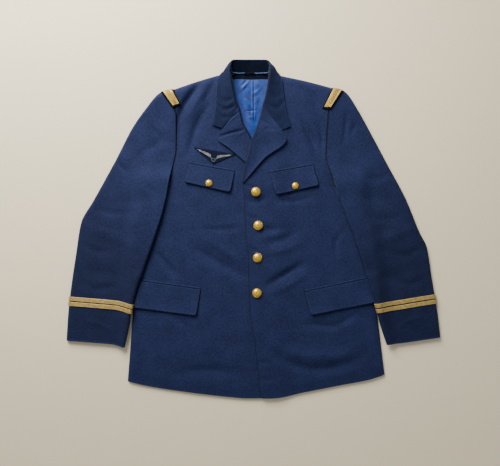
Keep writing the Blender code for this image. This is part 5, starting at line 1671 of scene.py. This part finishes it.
    @staticmethod
    def share_above_cuff(plan: Plan, across: float, distance: float) -> float:
        """Return the share down the sleeve at which its cloth is a distance above the cuff's edge."""
        cuff, above, below = plan(across, 1.0), 0.5, 1.0
        for _ in range(14):
            middle = (above + below) / 2
            if math.dist(plan(across, middle), cuff) > distance:
                above = middle
            else:
                below = middle
        return (above + below) / 2

    def braid_point(self, plan: Plan, v: float, k: int, grow: float) -> Point:
        """Return one point of a ring that stands off the sleeve by a little."""
        across = 0.5 - 0.5 * math.cos(2.0 * math.pi * k / self.count)
        start, end = plan(0.0, v), plan(1.0, v)
        width = math.dist(start, end)
        full = turned_down(across * width, SLEEVE_ROUND) * turned_down((1.0 - across) * width, SLEEVE_ROUND)
        share = across + grow / width * (2.0 * across - 1.0)
        x, y = plan(share, v) if 0.0 <= share <= 1.0 else mix(start, end, share)
        thick = JacketShape.sleeve_thickness(x, y)
        return x, y, JacketShape.sleeve_cover(x, y, self.left) + EDGE_TOP + (thick - EDGE_TOP) * full + grow


@dataclass
class ShoulderBar:
    """A shoulder bar: a black felt backing and a strip of patterned gold lace on it."""

    maker: Maker
    side: str
    carriers: list[bpy.types.Object]
    margin: float = 2.4 * MM
    repeats: int = 5
    size: Point = (0.021, 0.046)

    def relief(self, u: float, v: float) -> Point:
        """Return the lace's height and pattern: two plain edges and a zigzag with small lozenges."""
        from_edge = min(u, 1.0 - u)
        cord = math.exp(-((from_edge - 0.07) / 0.045) ** 2)
        wave = abs(2.0 * ((v * self.repeats) % 1.0) - 1.0)
        line = 0.26 + 0.48 * wave
        zigzag = math.exp(-((u - line) / 0.055) ** 2)
        other = math.exp(-((u - (1.0 - line)) / 0.055) ** 2)
        inside = smooth_step(from_edge, 0.12, 0.17)
        ground = 0.5 + 0.5 * math.cos(2.0 * math.pi * self.repeats * 4.0 * v)
        figure = inside * max(zigzag, other)
        return 0.45 * MM * max(cord, figure), 0.80 + 0.20 * cord - 1.00 * figure - 0.14 * inside * ground

    def smoothed(self, surface: Surface) -> GridSurface:
        """Return the carriers' heights without the small step at the sleeve seam."""
        xs, ys = [corner[0] for corner in BARS[self.side]], [corner[1] for corner in BARS[self.side]]
        return GridSurface(surface, (min(xs) - 0.012, min(ys) - 0.012), (max(xs) + 0.012, max(ys) + 0.012))

    def make(self) -> None:
        """Make the backing and the lace, turned down over the shoulder."""
        outer_front, outer_back, inner_back, inner_front = [Vector(corner) for corner in BARS[self.side]]
        along = (outer_front + outer_back - inner_front - inner_back).normalized()
        across = (outer_back - outer_front).normalized()
        surface = self.smoothed(Surface(*self.carriers))
        for piece, finish, slot, margin, thickness in (
            ("bar_backing", Finish.FELT, "black_felt", self.margin, 1.0 * MM),
            ("bar_lace", Finish.LACE, "gold_lace", 0.0, 1.2 * MM),
        ):
            def plan(u: float, v: float, margin: float = margin) -> Point:
                if not margin:
                    u, v = 0.12 + 0.88 * u, 0.05 + 0.95 * v
                start = mix(inner_front - along * margin, outer_front, v)
                end = mix(inner_back - along * margin, outer_back, v)
                x, y = mix(start, end, u)
                shift = across * margin * (2.0 * u - 1.0)
                return x + shift.x, y + shift.y

            def under(x: float, y: float, surface: Surface | GridSurface = surface) -> float:
                return surface.read(x, y)

            lace = piece == "bar_lace"
            name = f"{piece}_{self.side}"
            columns, rows = (graded(length, 0.6 * MM, 0.8 * MM, 0.8 * MM) for length in self.size)
            strip = self.maker.laid(f"{name}_weave", finish, plan, columns, rows, under, thickness, self.size,
                                    round_edge=0.8 * MM, relief=self.relief if lace else None, degrees=None)
            self.maker.settle(strip, slot, (name,))
            surface = Surface(strip)


@dataclass
class Button:
    """A domed gilt button with a rope rim and a plain rosette."""

    maker: Maker
    name: str
    x: float
    y: float
    radius: float
    carrier: Surface
    petals: int = 8
    profile: tuple[Point, ...] = (
        (0.000, 0.640), (0.120, 0.636), (0.240, 0.624), (0.360, 0.602), (0.480, 0.568), (0.590, 0.522),
        (0.690, 0.468), (0.780, 0.405), (0.835, 0.350), (0.860, 0.300), (0.890, 0.275), (0.940, 0.262),
        (0.985, 0.225), (1.000, 0.170), (0.985, 0.110), (0.900, 0.085), (0.500, 0.085), (0.280, 0.085),
        (0.280, 0.000), (0.000, 0.000),
    )

    def place(self, r: float, turn: float, z: float) -> Point:
        """Return a point at a share of the radius, a turn and a share of the height."""
        base = self.carrier.read(self.x, self.y, 3.0 * MM) + GAP
        away = r * self.radius
        return self.x + away * math.cos(turn), self.y + away * math.sin(turn), base + z * self.radius

    def circle(self, r: float, z: float, steps: int = 48) -> list[Point]:
        """Return a closed ring of points round the button."""
        return [self.place(r, 2.0 * math.pi * k / steps, z) for k in range(steps + 1)]

    def make(self) -> None:
        """Turn the button, and set the rim's strands, a ring of beads, the petals and the centre on it."""
        steps = 56
        corners, faces, tone = [], [], []
        rings = self.profile[1:-1]
        for r, z in rings:
            hollow = 0.15 if 0.84 < r < 0.93 and z > 0.2 else (0.62 + 0.25 * math.exp(-((r - 0.55) / 0.3) ** 2))
            corners += self.circle(r, z, steps)[:-1]
            tone += [hollow] * steps
        for k in range(len(rings) - 1):
            for s in range(steps):
                a, b = k * steps + s, k * steps + (s + 1) % steps
                faces.append((a, b, b + steps, a + steps))
        corners += [self.place(0.0, 0.0, self.profile[0][1]), self.place(0.0, 0.0, 0.0)]
        tone += [0.7, 0.3]
        last = (len(rings) - 1) * steps
        for s in range(steps):
            faces.append((len(corners) - 2, (s + 1) % steps, s))
            faces.append((len(corners) - 1, last + s, last + (s + 1) % steps))
        dome = self.maker.piece(self.name, Finish.GILT, corners, faces, corners, [], tone)
        turns = [2.0 * math.pi * petal / self.petals for petal in range(self.petals)]
        petals = [[self.place(0.40, turn, 0.597), self.place(0.70, turn, 0.468)] for turn in turns]
        meshes = []
        for lines, shares, degrees, shown in (
            ([self.circle(0.925, 0.285)], (0.105, 0.17, 0.075, 0.07), 38.0, 0.85),
            ([self.circle(0.30, 0.618)], (0.125, 0.09, 0.09, 0.07), 0.0, 0.95),
            (petals, (0.40, 0.34, 0.15, 0.09), 0.0, 1.0),
            ([self.circle(0.09, 0.638, 8)], (0.14, 0.14, 0.14, 0.09), 0.0, 1.0),
        ):
            sizes = [share * self.radius for share in shares]
            meshes.append(SewnLine.sew(lines, self.maker.materials[Finish.GILT], *sizes, degrees))
            set_pattern(meshes[-1], shown)
        relief = self.maker.joined(f"{self.name}_relief", meshes)
        dome.name = f"{self.name}_dome"
        relief.parent = dome
        self.maker.settle(dome, "gilt_button", (self.name,))
        self.maker.settle(relief, "gilt_button")


@dataclass
class Badge:
    """A dark felt triangle with two sprays of leaves in silver thread, meeting in a small ring."""

    maker: Maker
    body: Body

    def make(self) -> None:
        """Make the backing and the sprays."""
        surface = Surface(self.body.pieces["front_right"])

        def plan(u: float, v: float) -> Point:
            top = mix(BADGE[0], BADGE[1], u)
            low = mix(BADGE[0], BADGE[2], 2.0 * u) if u < 0.5 else mix(BADGE[2], BADGE[1], 2.0 * u - 1.0)
            return mix((top[0], top[1] + 1.5 * MM), low, v)

        backing = self.maker.laid("badge_backing_felt", Finish.BADGE_FELT, plan, even(90), even(24),
                                  lambda x, y: surface.read(x, y, 2.0 * MM), 1.4 * MM, (0.098, 0.03),
                                  round_edge=1.0 * MM)
        self.maker.settle(backing, "black_felt", ("badge_backing",))
        self.make_sprays(Surface(backing, self.body.pieces["front_right"]))

    def make_sprays(self, felt: Surface) -> None:
        """Sew the two sprays and the ring."""
        silver = self.maker.materials[Finish.SILVER]
        middle = Vector((-0.0938, 0.1640))
        axis = (Vector(BADGE[1]) - Vector(BADGE[0])).normalized()
        up = Vector((-axis.y, axis.x))

        meshes: list[bpy.types.Mesh] = []

        def sew(lines: list[list[Point]], rise: float, sizes: Point, degrees: float) -> None:
            spots = [[middle + axis * along + up * above for along, above in line] for line in lines]
            meshes.append(SewnLine.sew([on_cloth(line, felt, rise) for line in spots], silver, *sizes, degrees))

        for sign in (-1.0, 1.0):
            stem = path([(sign * along, above) for along, above in SPRAY_STEM])
            stalk = [stem(share) for share in even(24)]
            sew([stalk], 0.3 * MM, (0.5 * MM, 0.9 * MM, 0.8 * MM, 0.6 * MM), 20.0)
            for first, last, length, width in SPRAY_LEAVES:
                for side in (-1.0, 1.0):
                    rows = [(a, b + side * 0.30 * length) for a, b in stalk[first:last + 1]]
                    sew([rows], 0.45 * MM, (1.15 * width, length, width, 0.9 * MM), sign * side * 36.0)
        turns = [2.0 * math.pi * k / 24 for k in range(25)]
        ring = [(4.2 * MM * math.cos(turn), -1.4 * MM + 3.4 * MM * math.sin(turn)) for turn in turns]
        sew([ring], 0.35 * MM, (0.55 * MM, 1.0 * MM, 0.9 * MM, 0.7 * MM), 25.0)
        for mesh in meshes:
            set_pattern(mesh, SILVER_TONE)
            uv = mesh.uv_layers.get("grain") or mesh.uv_layers.new(name="grain")
            for loop in mesh.loops:
                uv.data[loop.index].uv = mesh.vertices[loop.vertex_index].co[:2]
        sprays = self.maker.joined("badge_sprays", meshes)
        self.maker.settle(sprays, "gold_lace")


@dataclass
class Sewing:
    """The stitches along the edges, and the buttonholes."""

    maker: Maker

    def edge_line(self, points: list[Point], inset: float, carrier: Surface, count: int = 90) -> list[Point]:
        """Return a line on the cloth, a little way in from an edge."""
        line = path(points)
        inner = moved_in([line(share) for share in even(count)], inset)
        return on_cloth(inner, carrier, STITCH_RISE)

    def make_edges(self, body: Body, lapels: Lapels, pockets: list[Pocket]) -> None:
        """Sew the fine rows along the lapels, the left front's edge and the flaps."""
        lapel_left = Surface(lapels.pieces["lapel_left"], body.pieces["front_left"])
        lapel_right = Surface(lapels.pieces["lapel_right"], body.pieces["front_right"])
        lines = [
            self.edge_line(LAPEL_EDGE_LEFT[1:3] + [(-0.015, 0.1200)], -STITCH_INSET, lapel_left),
            self.edge_line(LAPEL_EDGE_RIGHT[1:4] + [(-0.0100, 0.1480)], STITCH_INSET, lapel_right),
            self.edge_line(FRONT_EDGE_LEFT[1:-1], 5.0 * MM, Surface(body.pieces["front_left"]), 150),
        ]
        for pocket in pockets:
            corners = FLAPS[pocket.name]
            sign = 1.0 if corners[0][0] > 0.0 else -1.0
            carrier = Surface(pocket.flap, body.pieces["front_left" if sign > 0.0 else "front_right"])
            a, b, c, d = (Vector(corner) for corner in corners)
            down, along = (d - a).normalized() * STITCH_INSET, (c - d).normalized()
            side, start, end = along * STITCH_INSET, d - down + along * 12 * MM, c - down - along * 12 * MM
            turn = along * 4.0 * MM
            rounded = [a + side + down * 0.6, d - down * 3.4 + side, start - down * 0.4 - turn, start,
                       end, end - down * 0.4 + turn, c - down * 3.4 - side, b - side + down * 0.6]
            line = path([tuple(point) for point in rounded])
            lines.append(on_cloth([line(share) for share in even(110)], carrier, STITCH_RISE))
        thread = self.maker.materials[Finish.NAVY_THREAD]
        fine = SewnLine.sew(lines, thread, 3.2 * MM, 2.1 * MM, 0.45 * MM, 0.35 * MM)
        stitches = self.maker.joined("edge_stitches", [fine])
        self.maker.settle(stitches, "navy_wool")

    def make_buttonholes(self, front: Surface, flaps: dict[str, Surface]) -> None:
        """Sew the buttonholes of the left front and of the chest flaps."""
        slits = []
        for index, (x, y) in enumerate(FRONT_BUTTONS):
            reach = (-0.0132, 0.0060) if index < 2 else (-0.0060, 0.0190)
            tilt = (0.02, 0.02, 0.08, -0.06)[index]
            slits.append((front, [(x + d, y + tilt * d) for d in (reach[0], reach[1])]))
        for name, (x, y) in CHEST_BUTTONS.items():
            slits.append((flaps[name], [(x - 2.0 * MM, y - 2.0 * MM), (x + 8.6 * MM, y + 10.2 * MM)]))
        lines = []
        for carrier, (a, b) in slits:
            along = (Vector(b) - Vector(a)).normalized()
            side = Vector((-along.y, along.x))
            for sign in (-1.0, 1.0):
                line = [Vector(a).lerp(Vector(b), share) + side * sign * 0.75 * MM for share in even(12)]
                lines.append(on_cloth(line, carrier, 0.12 * MM))
        thread = self.maker.materials[Finish.HOLE_THREAD]
        stitches = SewnLine.sew(lines, thread, 0.48 * MM, 0.46 * MM, 1.5 * MM, 0.55 * MM)
        holes = self.maker.joined("buttonhole_stitches", [stitches])
        self.maker.settle(holes, "navy_wool")


@dataclass(frozen=True)
class Studio:
    """The pale floor, the soft light from beyond the collar, and the camera straight above."""

    camera_place: Point = (-0.0083, -0.0083, 1.040)
    lens: float = 31.7
    floor_color: Color = (0.950, 0.810, 0.555)

    def make(self) -> None:
        """Make the floor, the lights and the camera."""
        sheet = NodeSheet("pale_floor")
        place = sheet.add("TexCoord").outputs["Object"]
        tone = sheet.speckle(place, 0.05, 3.0)
        warm = tuple(channel * 0.97 for channel in self.floor_color)
        material = sheet.shade(base_color=sheet.blend(tone, warm, self.floor_color), roughness=0.75)
        bpy.ops.mesh.primitive_plane_add(size=8.0, location=(0.0, 0.0, -0.0004))
        floor = bpy.context.object
        floor.name = "floor"
        floor.data.materials.append(material)
        world = bpy.data.worlds.new("soft_room")
        bpy.context.scene.world = world
        world.use_nodes = True
        world.node_tree.nodes["Background"].inputs["Color"].default_value = (0.86, 0.92, 1.0, 1.0)
        world.node_tree.nodes["Background"].inputs["Strength"].default_value = 0.32
        self.light("window", (-0.62, 1.20, 0.88), 0.9, 56.0, (1.0, 0.985, 0.955))
        self.light("fill", (1.3, -0.9, 1.9), 2.4, 4.0, (0.90, 0.95, 1.0))
        camera = bpy.data.objects.new("camera", bpy.data.cameras.new("camera"))
        camera.data.lens = self.lens
        camera.data.sensor_width = 36.0
        camera.location = self.camera_place
        bpy.context.scene.collection.objects.link(camera)
        bpy.context.scene.camera = camera

    @staticmethod
    def light(name: str, place: Point, size: float, power: float, color: Color) -> None:
        """Add a soft square light aimed at the jacket."""
        lamp = bpy.data.lights.new(name, "AREA")
        lamp.size = size
        lamp.energy = power
        lamp.color = color
        thing = bpy.data.objects.new(name, lamp)
        thing.location = place
        thing.rotation_euler = (-Vector(place)).to_track_quat("-Z", "Y").to_euler()
        bpy.context.scene.collection.objects.link(thing)


def main() -> None:
    """Build the jacket on its frame, piece by piece."""
    logging.basicConfig(level=logging.INFO, format="%(name)s: %(message)s")
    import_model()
    Studio().make()
    maker = Maker()
    body = Body(maker)
    for name, left in (("back_right", False), ("back_left", True)):
        body.make_back(name, left)
    body.make_lining()
    for name, left in (("front_right", False), ("front_left", True)):
        body.make_front(name, left)
    lapels = Lapels(maker, body)
    lapels.make("lapel_right", left=False)
    lapels.make("lapel_left", left=True)
    collar = Collar(maker, body)
    collar.make_fall()
    collar.make_stand()
    collar.make_piping()
    collar.make_loop()
    pockets = [Pocket(maker, name, body) for name in FLAPS]
    for pocket in pockets:
        pocket.make()
    sleeves = [Sleeve(maker, left=False), Sleeve(maker, left=True)]
    for sleeve in sleeves:
        sleeve.make_cloth()
        sleeve.make_braid()
    carriers = [body.pieces["front_right"], body.pieces["front_left"]] + [sleeve.cloth for sleeve in sleeves]
    for side in BARS:
        ShoulderBar(maker, side, carriers).make()
    Badge(maker, body).make()
    fronts = Surface(body.pieces["front_right"], body.pieces["front_left"])
    for number, (x, y) in enumerate(FRONT_BUTTONS, start=1):
        Button(maker, f"front_button_{number}", x, y, FRONT_BUTTON_RADIUS, fronts).make()
    flaps = {name: Surface(pocket.flap) for name, pocket in zip(CHEST_BUTTONS, pockets)}
    for name, (x, y) in CHEST_BUTTONS.items():
        Button(maker, name, x, y, CHEST_BUTTON_RADIUS, flaps[name]).make()
    sewing = Sewing(maker)
    sewing.make_edges(body, lapels, pockets)
    sewing.make_buttonholes(Surface(body.pieces["front_left"]), flaps)


if __name__ == "__main__":
    main()
